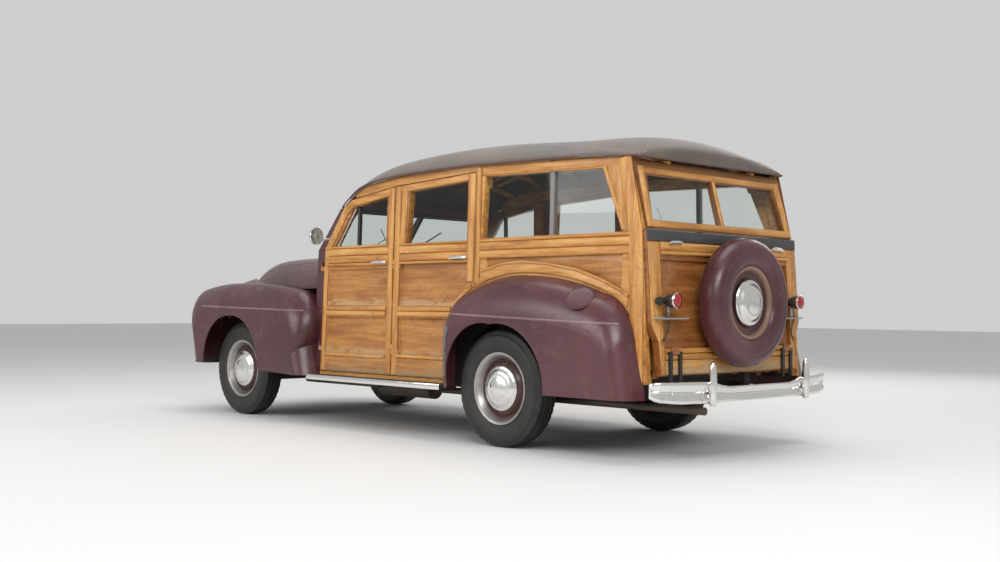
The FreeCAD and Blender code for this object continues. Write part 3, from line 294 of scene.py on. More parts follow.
def cloth(name, dark, light, thread, roughness=0.85, fade=0.5):
    # A woven cover: two sets of threads, faded in patches.
    f = Finish(name)
    waves = []
    for axis in ("X", "Y"):
        waves.append(f.add("ShaderNodeTexWave", {"bands_direction": axis}, {"Vector": f.place, "Scale": thread}))
    weave = waves[0] * 0.5 + waves[1] * 0.5
    cloud = f.between(f.noise(2.4, 8, 0.66), 0.36, 0.70)
    streak = f.between(f.noise(9, 6, 0.7, f.scaled((0.5, 2, 2))), 0.45, 0.75)
    tone = f.mix(cloud * fade + streak * 0.25, dark, light)
    return f.finish(Base_Color=tone, Roughness=roughness, Sheen_Weight=0.25, Sheen_Roughness=0.5,
                    Normal=f.relief(weave * 0.4 + f.noise(60, 5, 0.7) * 0.6, 0.0009, 0.6))


def glazing(name, tint):
    # Old window glass with a light film of dust.
    f = Finish(name)
    haze = f.between(f.noise(3.5, 8, 0.7), 0.45, 0.85)
    tree = f.tree
    clear = tree.nodes.new("ShaderNodeBsdfTransparent")
    clear.inputs["Color"].default_value = (*tint, 1)
    f.finish(Base_Color=(0.90, 0.92, 0.91), Roughness=0.03, Metallic=1.0)
    blend = tree.nodes.new("ShaderNodeMixShader")
    edge = f.add("ShaderNodeFresnel", None, {"IOR": 1.45})
    outer = 1 - f.add("ShaderNodeNewGeometry", out="Backfacing")
    f.feed(blend.inputs[0], (0.01 + 0.02 * haze + 0.7 * edge) * outer)
    tree.links.new(clear.outputs[0], blend.inputs[1])
    tree.links.new(f.shader.outputs[0], blend.inputs[2])
    tree.links.new(blend.outputs[0], tree.nodes["Material Output"].inputs["Surface"])
    return f.material


def lens_red(name):
    # Ribbed red glass.
    f = Finish(name)
    rings = f.noise(60, 2, 0.5)
    tone = f.mix(rings, (0.20, 0.003, 0.004), (0.46, 0.010, 0.010))
    return f.finish(Base_Color=tone, Roughness=0.12 + 0.1 * rings, Coat_Weight=0.6, Coat_Roughness=0.05)


def dull_metal(name, colour, roughness, metallic=0.0, grime=0.4):
    # Paint or bare metal with grime on it in clouds.
    f = Finish(name)
    cloud = f.between(f.noise(8, 8, 0.7), 0.4, 0.72)
    tone = f.mix(cloud * grime, colour, (0.13, 0.105, 0.085))
    return f.finish(Base_Color=tone, Roughness=roughness + 0.2 * cloud, Metallic=metallic,
                    Normal=f.relief(f.noise(45, 6, 0.7), 0.0015, 0.4))


maroon = paint("maroon enamel", (0.058, 0.013, 0.018), (0.105, 0.028, 0.036), 0.30)
# A paler maroon for the fender beads: a painted highlight along their crests.
bead_highlight_maroon = paint("maroon bead with painted highlight", (0.17, 0.085, 0.092), (0.30, 0.185, 0.190), 0.22, chips=False)
hem_brown = paint("brown hem", (0.070, 0.032, 0.024), (0.130, 0.064, 0.048), 0.55, chips=False)
guard_rubber = paint("worn stone guard", (0.050, 0.050, 0.052), (0.19, 0.19, 0.19), 0.45, chips=False)
wheel_maroon = paint("wheel enamel", (0.045, 0.014, 0.012), (0.095, 0.032, 0.026), 0.38, chips=False)
amber = ((0.24, 0.080, 0.014), (0.51, 0.218, 0.044), (0.74, 0.405, 0.120))
tan_panel = ((0.17, 0.058, 0.012), (0.36, 0.140, 0.028), (0.56, 0.26, 0.062))
door_feet = ((0.386, 0.46), (0.502, 0.60), (0.856, 0.93))
# The frame woods given face= carry painted shade below that face.
rail_wood = timber("amber wood along x", "x", *amber, face=side_face, peel=door_feet[:1])
post_wood = timber("amber wood along z", "z", *amber, wear=0.65, face=side_face)
wall_wood = timber("wall wood along x", "x", *amber, wear=0.5, housing=True,
                   bar=(-1.534, -1.500, (0.20, 0.19, 0.18)))
cross_wood = timber("amber wood along y", "y", *amber, wear=0.4)
gate_rail_wood = timber("gate frame wood along y", "y", *amber, wear=0.45, face=tailgate_face, peel=((0.48, 0.62),))
gate_post_wood = timber("gate frame wood along z", "z", *amber, wear=0.5, face=tailgate_face)
lift_rail_wood = timber("lift frame wood along y", "y", *amber, wear=0.2, speckle=0.3, face=liftgate_face)
lift_post_wood = timber("lift frame wood along z", "z", *amber, wear=0.2, speckle=0.3, face=liftgate_face)
panel_wood = timber("panel wood along x", "x", *tan_panel, wear=0.6, speckle=0.5, gloss=0.36, peel=door_feet,
                    bar=(0.340, 0.364, (0.025, 0.022, 0.020)))
gate_wood = timber("panel wood along y", "y", (0.12, 0.036, 0.009), (0.26, 0.088, 0.020), (0.42, 0.165, 0.040),
                   wear=0.35, speckle=0.4, gloss=0.36)
slat_wood = timber("roof slat wood", "x", (0.42, 0.22, 0.09), (0.60, 0.36, 0.17), (0.74, 0.50, 0.27), wear=0.2,
                   speckle=0.2, gloss=0.5)
bright = plating("bright plate", (0.80, 0.79, 0.77), 0.10, 0.25)
dented = plating("dented hubcap plate", (0.78, 0.77, 0.75), 0.13, 1.1, 0.35)
brass = plating("brass bolt heads", (0.62, 0.44, 0.20), 0.28, 0.3, 0.35)
tyre_black = rubber("tyre rubber", (0.014, 0.014, 0.014), 0.52, 0.2)
strip_grey = rubber("grey sealing strip", (0.045, 0.047, 0.050), 0.5, 0.2)
mat_black = rubber("ribbed board rubber", (0.025, 0.025, 0.026), 0.6)
roof_cover = cloth("brown-grey roof cover", (0.082, 0.060, 0.048), (0.168, 0.128, 0.102), 420, 0.52, 0.6)
seat_cover = cloth("grey seat cover", (0.085, 0.072, 0.062), (0.16, 0.14, 0.12), 260, 0.85)
window_glass = glazing("window glass", (0.94, 0.96, 0.95))
red_lens = lens_red("red lens")
worn_bright = dull_metal("worn bright metal", (0.42, 0.40, 0.38), 0.32, 0.85, 0.5)
chassis_black = dull_metal("chassis black", (0.018, 0.018, 0.018), 0.62)
engine_iron = dull_metal("engine iron", (0.08, 0.085, 0.085), 0.5, 0.5)
pipe_steel = dull_metal("pipe steel", (0.10, 0.078, 0.062), 0.55, 0.7)
bracket_grey = dull_metal("bracket grey", (0.34, 0.32, 0.29), 0.5, 0.0, 0.5)
wheel_plastic = dull_metal("steering wheel plastic", (0.030, 0.022, 0.018), 0.3, 0.0, 0.15)
dark_paint = dull_metal("inside paint", (0.060, 0.030, 0.026), 0.5, 0.0, 0.3)

# Making pieces


def piece(name, body, finish, points, faces, smooth=60, boards=None, replaces=(), slots=None):
    # points in metres; finish is one material or a list, with slots naming one per face.
    mesh = bpy.data.meshes.new(name)
    mesh.from_pydata([tuple(p) for p in points], [], faces)
    for material in finish if isinstance(finish, list) else [finish]:
        mesh.materials.append(material)
    if slots:
        for face, slot in zip(mesh.polygons, slots):
            face.material_index = slot
    if boards:
        shift = mesh.attributes.new("board", "FLOAT_VECTOR", "POINT")
        for number, value in enumerate(boards):
            shift.data[number].vector = value
    mesh.update()
    for face in mesh.polygons:
        face.use_smooth = True
    mesh.set_sharp_from_angle(angle=math.radians(smooth))
    thing = bpy.data.objects.new(name, mesh)
    bpy.context.scene.collection.objects.link(thing)
    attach(thing, body)
    for node in replaces:
        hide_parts(node)
    return thing


class Shape:
    # Points and faces gathered from several pieces of one material list.
    def __init__(self):
        self.points = []
        self.faces = []
        self.slots = []
        self.boards = []

    def take(self, points, faces, slot=0, board=(0, 0, 0)):
        first = len(self.points)
        self.points += points
        self.faces += [tuple(first + corner for corner in face) for face in faces]
        self.slots += [slot] * len(faces)
        self.boards += [board] * len(points)

    def both_hands(self):
        # Adds the mirror image across the middle of the car.
        first = len(self.points)
        self.points += [Vector((p[0], -p[1], p[2])) for p in self.points]
        self.faces += [tuple(first + corner for corner in reversed(face)) for face in self.faces]
        self.slots += self.slots
        self.boards += [(b[0] + 3.1, b[1], b[2]) for b in self.boards]

    def other_hand(self):
        self.points = [Vector((p[0], -p[1], p[2])) for p in self.points]
        self.faces = [tuple(reversed(face)) for face in self.faces]

    def made(self, name, body, finish, smooth=60, replaces=()):
        return piece(name, body, finish, self.points, self.faces, smooth, self.boards, replaces, self.slots)


def ringed(rings, first_cap=True, last_cap=True):
    # Faces between rings of equally many points.
    points = [p for ring in rings for p in ring]
    count = len(rings[0])
    faces = []
    for row in range(len(rings) - 1):
        for step in range(count):
            a = row * count + step
            b = row * count + (step + 1) % count
            faces.append((a, b, b + count, a + count))
    if first_cap:
        faces.append(tuple(reversed(range(count))))
    if last_cap:
        faces.append(tuple((len(rings) - 1) * count + step for step in range(count)))
    return points, faces


def turned(profile, centre, axis, steps=64):
    # profile holds (radius, distance along the axis) in millimetres, centre is a world point.
    # An end on the axis is closed.
    axis = Vector(axis).normalized()
    first = axis.orthogonal().normalized()
    second = axis.cross(first)
    rings = []
    for radius, along in profile:
        ring = []
        for step in range(steps):
            angle = 2 * math.pi * step / steps
            spoke = first * math.cos(angle) + second * math.sin(angle)
            ring.append(centre + (axis * along + spoke * radius) / 1000)
        rings.append(ring)
    return ringed(rings, profile[0][0] < 1, profile[-1][0] < 1)


def swept(path, profile, out, closed=False):
    # profile holds (out, across) in millimetres; across lies at right angles to the path and to out.
    rings = []
    count = len(path)
    for number, here in enumerate(path):
        before = path[number - 1] if closed else path[max(number - 1, 0)]
        after = path[(number + 1) % count] if closed else path[min(number + 1, count - 1)]
        run = (after - before).normalized()
        face = out[number] if isinstance(out, list) else out
        across = run.cross(face).normalized()
        face = across.cross(run).normalized()
        rings.append([here + (face * a + across * b) / 1000 for a, b in profile])
    if closed:
        rings.append(rings[0])
        return ringed(rings, False, False)
    return ringed(rings)


def round_profile(radius, steps=10, squash=1.0):
    turn = 2 * math.pi / steps
    return [(radius * squash * math.cos(i * turn), radius * math.sin(i * turn)) for i in range(steps)]


def signed_area(outline):
    return sum(a[0] * b[1] - b[0] * a[1] for a, b in zip(outline, outline[1:] + outline[:1]))


def pulled_in(outline, by):
    # A polygon moved inwards by a distance, corner by corner.
    hand = 1 if signed_area(outline) > 0 else -1
    inner = []
    for number, here in enumerate(outline):
        before = outline[number - 1]
        after = outline[(number + 1) % len(outline)]
        u = Vector((here[0] - before[0], here[1] - before[1])).normalized()
        v = Vector((after[0] - here[0], after[1] - here[1])).normalized()
        bend = Vector((-u.y - v.y, u.x + v.x)) * hand
        length = max(bend.length, 0.35)
        inner.append((here[0] + bend.x / length ** 2 * 2 * by, here[1] + bend.y / length ** 2 * 2 * by))
    return inner


def slab(outline, place, back, face, edge=3.0):
    # A board with a rounded front edge.  place(a, b, out) gives the world point.
    if signed_area(outline) < 0:
        outline = outline[::-1]
    rings = [[place(a, b, back) for a, b in outline], [place(a, b, face - edge) for a, b in outline]]
    rings.append([place(a, b, face - edge * 0.3) for a, b in pulled_in(outline, edge * 0.3)])
    rings.append([place(a, b, face) for a, b in pulled_in(outline, edge)])
    return ringed(rings)


def arc_points(start, middle, end, steps):
    # Points along the circle through three points in a plane.
    ax, ay = start
    bx, by = middle
    cx, cy = end
    d = 2 * (ax * (by - cy) + bx * (cy - ay) + cx * (ay - by))
    ux = ((ax ** 2 + ay ** 2) * (by - cy) + (bx ** 2 + by ** 2) * (cy - ay) + (cx ** 2 + cy ** 2) * (ay - by)) / d
    uy = ((ax ** 2 + ay ** 2) * (cx - bx) + (bx ** 2 + by ** 2) * (ax - cx) + (cx ** 2 + cy ** 2) * (bx - ax)) / d
    radius = math.hypot(ax - ux, ay - uy)
    first = math.atan2(ay - uy, ax - ux)
    half = (math.atan2(by - uy, bx - ux) - first + math.pi) % (2 * math.pi) - math.pi
    whole = (math.atan2(cy - uy, cx - ux) - first + math.pi) % (2 * math.pi) - math.pi
    if half * whole < 0:
        whole += math.copysign(2 * math.pi, half)
    return [(ux + radius * math.cos(first + whole * i / steps), uy + radius * math.sin(first + whole * i / steps))
            for i in range(steps + 1)]


def new_board():
    return (dice.uniform(-9, 9), dice.uniform(-9, 9), dice.uniform(-9, 9))


# Studio


def studio():
    reach, level = 40, -0.001
    corners = [(-reach, -reach, level), (reach, -reach, level), (reach, reach, level), (-reach, reach, level)]
    sheet = bpy.data.meshes.new("studio_floor")
    sheet.from_pydata(corners, [], [(0, 1, 2, 3)])
    sheet.materials.append(Finish("studio floor").finish(Base_Color=(0.74, 0.735, 0.725), Roughness=0.8))
    floor = bpy.data.objects.new("studio_floor", sheet)
    bpy.context.scene.collection.objects.link(floor)
    world = bpy.data.worlds.new("studio")
    world.use_nodes = True
    tree = world.node_tree
    bpy.context.scene.world = world
    soft = tree.nodes["Background"]
    soft.inputs["Color"].default_value = (1, 1, 1, 1)
    soft.inputs["Strength"].default_value = 0.55
    seen = tree.nodes.new("ShaderNodeBackground")
    seen.inputs["Color"].default_value = (0.62, 0.62, 0.62, 1)
    rays = tree.nodes.new("ShaderNodeLightPath")
    switch = tree.nodes.new("ShaderNodeMixShader")
    any_ray = tree.nodes.new("ShaderNodeMath")
    any_ray.operation = "MAXIMUM"
    tree.links.new(rays.outputs["Is Camera Ray"], any_ray.inputs[0])
    tree.links.new(rays.outputs["Is Transmission Ray"], any_ray.inputs[1])
    tree.links.new(any_ray.outputs[0], switch.inputs[0])
    tree.links.new(soft.outputs[0], switch.inputs[1])
    tree.links.new(seen.outputs[0], switch.inputs[2])
    tree.links.new(switch.outputs[0], tree.nodes["World Output"].inputs["Surface"])
    # Lamps: where, what they face, their size in metres and their power.
    for name, place, target, size, power in (("key", (-6.5, 5.0, 5.5), (-0.5, 0, 0.9), (5, 3), 330),
                                             ("side", (2.5, 8.5, 4.0), (0, 0, 0.9), (6, 3), 230),
                                             ("far side", (1, -8, 5), (0, 0, 1), (6, 3), 170),
                                             ("top", (0, 0, 7.5), (0, 0, 0), (7, 4), 210)):
        lamp = bpy.data.lights.new(name, "AREA")
        lamp.shape = "RECTANGLE"
        lamp.size, lamp.size_y = size
        lamp.energy = power
        thing = bpy.data.objects.new(name, lamp)
        thing.location = place
        thing.rotation_euler = (Vector(target) - Vector(place)).to_track_quat("-Z", "Y").to_euler()
        bpy.context.scene.collection.objects.link(thing)
    bpy.context.scene.view_settings.view_transform = "Standard"


def camera():
    # The photograph's place and direction, found from the wheels and the body's edges.
    yaw, pitch, roll = -0.771567, 0.020450, 0.008010
    forward = Vector((math.cos(yaw) * math.cos(pitch), math.sin(yaw) * math.cos(pitch), math.sin(pitch)))
    right = Vector((math.sin(yaw), -math.cos(yaw), 0))
    up = right.cross(forward)
    level, tipped = math.cos(roll), math.sin(roll)
    right, up = right * level + up * tipped, up * level - right * tipped
    lens = bpy.data.cameras.new("camera")
    lens.sensor_width = 36
    photo_width, focal_pixels = 1000, 1209.633
    lens.lens = focal_pixels * lens.sensor_width / photo_width
    thing = bpy.data.objects.new("camera", lens)
    turn = Matrix((right, up, -forward)).transposed().to_4x4()
    thing.matrix_world = Matrix.Translation((-6.4399, 5.9473, 0.8564)) @ turn
    bpy.context.scene.collection.objects.link(thing)
    bpy.context.scene.camera = thing


studio()
camera()

# Finishes of the solids, also of those that a piece below takes the place of


def finish_solid(node, material):
    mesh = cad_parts[node].data
    mesh.materials.clear()
    mesh.materials.append(material)


for material, nodes in (
        (chassis_black, "frame cross_members radiator front_axle rear_axle springs fuel_tank floor"),
        (chassis_black, "knuckle_left knuckle_right"),
        (maroon, "cowl front_fenders rear_fenders grille_panel hood spare_tyre"),
        (window_glass, "windshield_glass quarter_glass liftgate_glass"),
        (seat_cover, "front_seat middle_seat rear_seat"),
        (bright, "headlamps front_bumper rear_bumper mirror"),
        (engine_iron, "engine_block"), (pipe_steel, "exhaust"), (dark_paint, "dashboard"),
        (mat_black, "running_boards"), (wall_wood, "body_sides"), (roof_cover, "roof"),
        (lift_rail_wood, "liftgate"), (gate_wood, "tailgate"), (bracket_grey, "tail_lamps"),
        (wheel_plastic, "steering_wheel"), (wheel_maroon, "spare_wheel")):
    for node in nodes.split():
        finish_solid(node, material)
for side, _ in both_sides:
    for end in ("front", "rear"):
        finish_solid(f"tyre_{end}_{side}", tyre_black)
        finish_solid(f"wheel_{end}_{side}", wheel_maroon)
        finish_solid(f"{end}_door_{side}", panel_wood)
        finish_solid(f"{end}_door_{side}_glass", window_glass)

# Wheels and tyres


def tyre_shape(centre, axis):
    # Four ribs cut by zigzag grooves, a shoulder step and two raised lines on the wall.
    steps = 180
    wall = [(204, -54), (214, -62), (232, -68), (240, -73), (262, -78), (285, -80.2), (300, -79.4), (312, -77.8),
            (315, -80.6), (319, -80.2), (322, -76.5), (330, -73)]
    tread = []
    for y in (-62, -45, -44, -38, -37, -16, -15, -9, -8, 8, 9, 15, 16, 37, 38, 44, 45, 62):
        tread.append((tyre_radius - 3.2 * (abs(y) / 62) ** 2.2, y))
    profile = wall + tread + [(r, -y) for r, y in reversed(wall)]
    points, faces = turned(profile, centre, axis, steps)
    axis = Vector(axis).normalized()
    for number, (radius, y) in enumerate(profile):
        if radius < 345:
            continue
        in_groove = 37.5 < abs(y) < 44.5 or 8.5 < abs(y) < 15.5
        for step in range(steps):
            index = number * steps + step
            zigzag = 3.2 if step % 4 < 2 else -3.2
            points[index] = points[index] + axis * (zigzag / 1000 if abs(y) < 50 else 0)
            if in_groove or abs(y) > 55 and step % 4 == 0:
                inward = centre + axis * (points[index] - centre).dot(axis) - points[index]
                points[index] = points[index] + inward.normalized() * (0.007 if in_groove else 0.004)
    return points, faces


def wheel_shape(centre, axis):
    # Slot 0 is enamel, slot 1 the bright ring and slot 2 the domed cap.
    disc = [(196, -40), (201, -56), (206, -60), (218, -63), (221, -66), (221, -61), (212, -55), (204, -50), (202, 48),
            (205, 55), (214, 58), (221, 62), (221, 66), (216, 67), (206, 62), (197, 52), (190, 34), (182, 22),
            (175, 15), (169, 15), (160, 24), (150, 36), (141, 44), (120, 46), (60, 44), (0.02, 44)]
    ring = [(181, 22), (180, 26), (184, 33), (190, 43), (196, 54), (202, 62), (209, 67), (215, 69.5), (220, 69.5),
            (222, 66), (221, 63)]
    cap = [(134, 42), (137, 47), (136, 53), (131, 57), (124, 58), (118, 60), (112, 65), (101, 71), (92, 74.5),
           (85, 75.5), (80, 75), (76, 74.6), (70, 76.5), (60, 80), (44, 84), (26, 86.6), (10, 87.6), (0.02, 87.8)]
    shape = Shape()
    for slot, profile in enumerate((disc, ring, cap)):
        shape.take(*turned(profile, centre, axis, 96), slot)
    return shape


def road_wheels():
    for end, x, track in (("front", wheelbase, track_front), ("rear", 0, track_rear)):
        for side, hand in both_sides:
            corner = f"{end}_{side}"
            body = f"{end}_wheel_{side}"
            centre = at(x, hand * track / 2, tyre_radius)
            points, faces = tyre_shape(centre, (0, hand, 0))
            piece(f"tread_{corner}", body, tyre_black, points, faces, 40, replaces=[f"tyre_{corner}"])
            shape = wheel_shape(centre, Vector((0, hand, 0)))
            shape.made(f"disc_{corner}", body, [wheel_maroon, worn_bright, dented], 35, [f"wheel_{corner}"])


def spare():
    # The spare sits in a fitted metal cover, so it has no tread, and shows a tan ring and a bright cap.
    centre = at(-1199, 0, 885)
    cover = [(213, 34), (214, 46), (219, 55), (230, 64), (244, 71), (260, 76), (276, 78), (292, 79), (301, 78.4),
             (307, 76.6), (312, 78.2), (320, 78.6), (334, 75.5), (349, 67), (364, 52), (373.5, 30), (377, 8),
             (377, -20), (373, -44), (364, -60), (347, -72), (311, -79), (262, -78), (232, -66), (206, -60),
             (204, -20)]
    points, faces = turned(cover, centre, to_rear, 128)
    piece("spare_cover", "tailgate", maroon, points, faces, 35, replaces=["spare_tyre"])
    disc = [(204, -20), (200, -58), (190, -60), (188, 22), (190, 34), (196, 43), (204, 47), (211, 48), (214, 46),
            (213, 38)]
    ring = [(192, 26), (186, 22), (172, 20), (164, 24), (158, 26), (150, 22), (136, 14), (60, 8), (0.02, 8)]
    cap = [(132, 18), (136, 26), (136, 33), (131, 39), (122, 41), (115, 42), (108, 48), (100, 56), (87, 65),
           (77, 68), (70, 67), (63, 69), (50, 75), (30, 79), (10, 80.5), (0.02, 81)]
    shape = Shape()
    for slot, profile in enumerate((disc, ring, cap)):
        shape.take(*turned(profile, centre, to_rear, 96), slot)
    tan_ring = paint("tan ring enamel", (0.20, 0.11, 0.075), (0.34, 0.20, 0.13), 0.42, chips=False)
    shape.made("spare_disc", "tailgate", [tan_ring, wheel_maroon, dented], 35, ["spare_wheel"])


road_wheels()
spare()

# Timber framing of the sides


def half_round(width, stand, back=-3.0, flat=0.75, steps=10):
    # A moulding's section: flat back, full rounded face.
    points = [(back, -width / 2)]
    for step in range(steps + 1):
        angle = math.pi * step / steps
        points.append((stand * math.sin(angle) ** flat, -width / 2 * math.cos(angle)))
    points.append((back, width / 2))
    return points


def rail(shape, ends, width, stand, slot=0):
    # A rounded moulding between points (x, z) of the side wall.
    path = [on_side(x, z, 0) for x, z in ends]
    shape.take(*swept(path, half_round(width, stand), side_out().normalized()), slot, new_board())


def level_rails(shape, rows):
    # Level mouldings: where each one starts and ends, its height, width and stand.
    for x0, x1, z, width, stand in rows:
        rail(shape, [(x0, z), (x1, z)], width, stand)


def board(shape, outline, face=4.0, slot=0, back=-3.0, edge=4.0):
    shape.take(*slab(outline, on_side, back, face, edge), slot, new_board())


def bolt(shape, centre, out, radius=6.5, slot=0):
    head = [(radius, -1), (radius, 1.2), (radius * 0.8, 3.2), (radius * 0.45, 4.4), (0.02, 4.8)]
    shape.take(*turned(head, centre, out, 10), slot)


def belt(shape, x0, x1, lowest=True):
    # Mouldings under the window sill, the lowest one narrow.
    rows = [(x0, x1, 1262, 16, 15), (x0, x1, 1228, 52, 12), (x0, x1, 1176, 50, 13), (x0, x1, 1139, 20, 15)]
    level_rails(shape, rows if lowest else rows[:3])


# The material slots of all wooden framing.
slot_rail, slot_post, slot_brass, slot_panel = range(4)


def front_door_wood():
    shape = Shape()
    belt(shape, 1882, 1166)
    level_rails(shape, [(1854, 1180, 832, 32, 12), (1856, 1180, 796, 38, 14), (1860, 1180, 500, 26, 13)])
    board(shape, [(1906, 386), (1170, 386), (1170, 490), (1906, 490)], 5)
    rail(shape, [(1886, 388), (1878, 1000), (1868, 1240)], 52, 11, slot_post)
    rail(shape, [(1862, 1240), (1835, 1292), (1764, 1388), (1645, 1545)], 62, 12, slot_post)
    corner = [(1682, 1546), (1598, 1594), (1150, 1653), (1150, 1602), (1560, 1548), (1640, 1500)]
    board(shape, corner, 9, edge=7)
    rail(shape, [(1145, 388), (1145, 1650)], 56, 15, slot_post)
    return shape


def rear_door_wood():
    shape = Shape()
    belt(shape, 1046, 372)
    level_rails(shape, [(1050, 522, 832, 32, 12), (1050, 506, 796, 38, 14), (1050, 560, 512, 26, 13)])
    board(shape, [(1052, 386), (555, 386), (548, 500), (1052, 500)], 5)
    rail(shape, [(1076, 388), (1076, 1655)], 58, 15, slot_post)
    rail(shape, [(1022, 1270), (1010, 1640)], 60, 9, slot_post)
    rail(shape, [(346, 1010), (346, 1690)], 62, 14, slot_post)
    board(shape, [(1046, 1662), (378, 1695), (378, 1650), (1046, 1618)], 9, edge=7)
    board(shape, [(500, 730), (494, 500), (494, 386), (550, 386), (552, 770), (498, 770)], 6, slot_post)
    curve = arc_points((506, 820), (452, 890), (380, 950), 8)
    rail(shape, [(506, 786)] + curve + [(330, 978)], 34, 10)
    return shape


def quarter_wood():
    shape = Shape()
    belt(shape, 262, -960, False)
    rail(shape, [(282, 1000), (282, 1726)], 44, 14, slot_post)
    top = [(232, 1072), (61, 1112), (-112, 1124), (-321, 1107), (-561, 1068), (-752, 1009), (-900, 946),
           (-950, 915)]
    low = arc_points((300, 968), (80, 1037), (-177, 1053), 8)
    low += arc_points((-177, 1053), (-480, 1024), (-764, 950), 8)[1:]
    low += [(-860, 906), (-945, 850)]
    board(shape, top + low[::-1], 9, edge=8)
    rail(shape, top, 20, 15)
    panel = [(x, z - 2) for x, z in top[:-1]] + [(-893, 1154), (197, 1154)]
    board(shape, panel, -12.5, slot_panel, -14.8, 1)
    board(shape, [(256, 1730), (-890, 1708), (-905, 1652), (256, 1672)], 8, edge=7)
    rail(shape, [(-752, 1655), (-905, 1285)], 26, 9, slot_post)
    board(shape, [(-742, 1655), (-905, 1277), (-1010, 1277), (-900, 1700), (-748, 1700)], 5, slot_post)
    return shape


def rear_posts():
    # The rounded corner posts with their bolts.
    shape = Shape()
    rail(shape, [(-1020, 440), (-1012, 700), (-1006, 1060), (-992, 1277), (-902, 1692)], 96, 20, slot_post)
    for x, z in ((-1026, 1230), (-1026, 1172), (-1030, 985), (-1030, 940), (-985, 1000), (-1032, 790),
                 (-900, 1620), (-908, 1655), (-990, 905), (-960, 1585)):
        bolt(shape, on_side(x, z, 15), side_out(), slot=slot_brass)
    return shape


def side_framing():
    woods = [rail_wood, post_wood, brass, panel_wood]
    for door, make in (("front_door", front_door_wood), ("rear_door", rear_door_wood)):
        for side, hand in both_sides:
            shape = make()
            if hand < 0:
                shape.other_hand()
            shape.made(f"{door}_framing_{side}", f"{door}_{side}", woods, 50)
    for name, make in (("quarter_framing", quarter_wood), ("corner_posts", rear_posts)):
        shape = make()
        shape.both_hands()
        shape.made(name, "root", woods, 50)


side_framing()

# Tailgate and liftgate


def on_tailgate(y, z, out):
    # The tailgate's face leans forward by 57 mm over its height.
    share = (z - 474) / (1282 - 474)
    return at(-1115 + 57 * share - out, y, z)


def on_liftgate(y, z, out):
    # The liftgate's face leans more, by 108 mm.
    share = (z - 1292) / (1684 - 1292)
    return at(-1051 + 108 * share - out, y, z)


def gate_rail(shape, place, ends, width, stand, slot=slot_rail):
    path = [place(y, z, 0) for y, z in ends]
    points, faces = swept(path, half_round(width, stand), place(0, 900, 100) - place(0, 900, 0))
    shape.take(points, [tuple(reversed(face)) for face in faces], slot, new_board())


def gate_board(shape, place, outline, face, slot, edge=4.0):
    points, faces = slab(outline, place, -3, face, edge)
    shape.take(points, [tuple(reversed(f)) for f in faces], slot, new_board())


def tailgate_wood():
    shape = Shape()
    out = on_tailgate(0, 900, 100) - on_tailgate(0, 900, 0)
    post = [(634, 478), (674, 478), (681, 662), (738, 762), (738, 1220), (636, 1220)]
    for hand in (1, -1):
        gate_board(shape, on_tailgate, [(hand * y, z) for y, z in post], 8, slot_post, 6)
        for z in (540, 690, 850, 930, 1010, 1090, 1180):
            bolt(shape, on_tailgate(hand * (656 if z < 700 else 690), z, 8), out, slot=slot_brass)
    for z, width, stand in ((1196, 52, 13), (1160, 22, 15)):
        gate_rail(shape, on_tailgate, [(632, z), (-632, z)], width, stand)
    gate_board(shape, on_tailgate, [(632, 480), (-632, 480), (-632, 560), (632, 560)], 8, slot_rail, 6)
    for z, width, stand in ((578, 34, 14), (612, 30, 12)):
        gate_rail(shape, on_tailgate, [(632, z), (-632, z)], width, stand)
    shape.made("tailgate_framing", "tailgate", [gate_rail_wood, gate_post_wood, brass], 50)
    strip = Shape()
    gate_board(strip, on_tailgate, [(738, 1224), (-738, 1224), (-738, 1286), (738, 1286)], 11, 0, 5)
    strip.made("tailgate_strip", "tailgate", strip_grey, 50)


def liftgate_wood():
    shape = Shape()
    gate_rail(shape, on_liftgate, [(706, 1318), (-706, 1318)], 44, 12)
    gate_rail(shape, on_liftgate, [(690, 1624), (-690, 1624)], 40, 12)
    for hand in (1, -1):
        gate_rail(shape, on_liftgate, [(hand * 690, 1300), (hand * 671, 1642)], 50, 13, slot_post)
    gate_rail(shape, on_liftgate, [(0, 1338), (0, 1608)], 30, 12, slot_post)
    shape.made("liftgate_framing", "liftgate", [lift_rail_wood, lift_post_wood], 50)


tailgate_wood()
liftgate_wood()

# Bright trim, lamps and small fittings


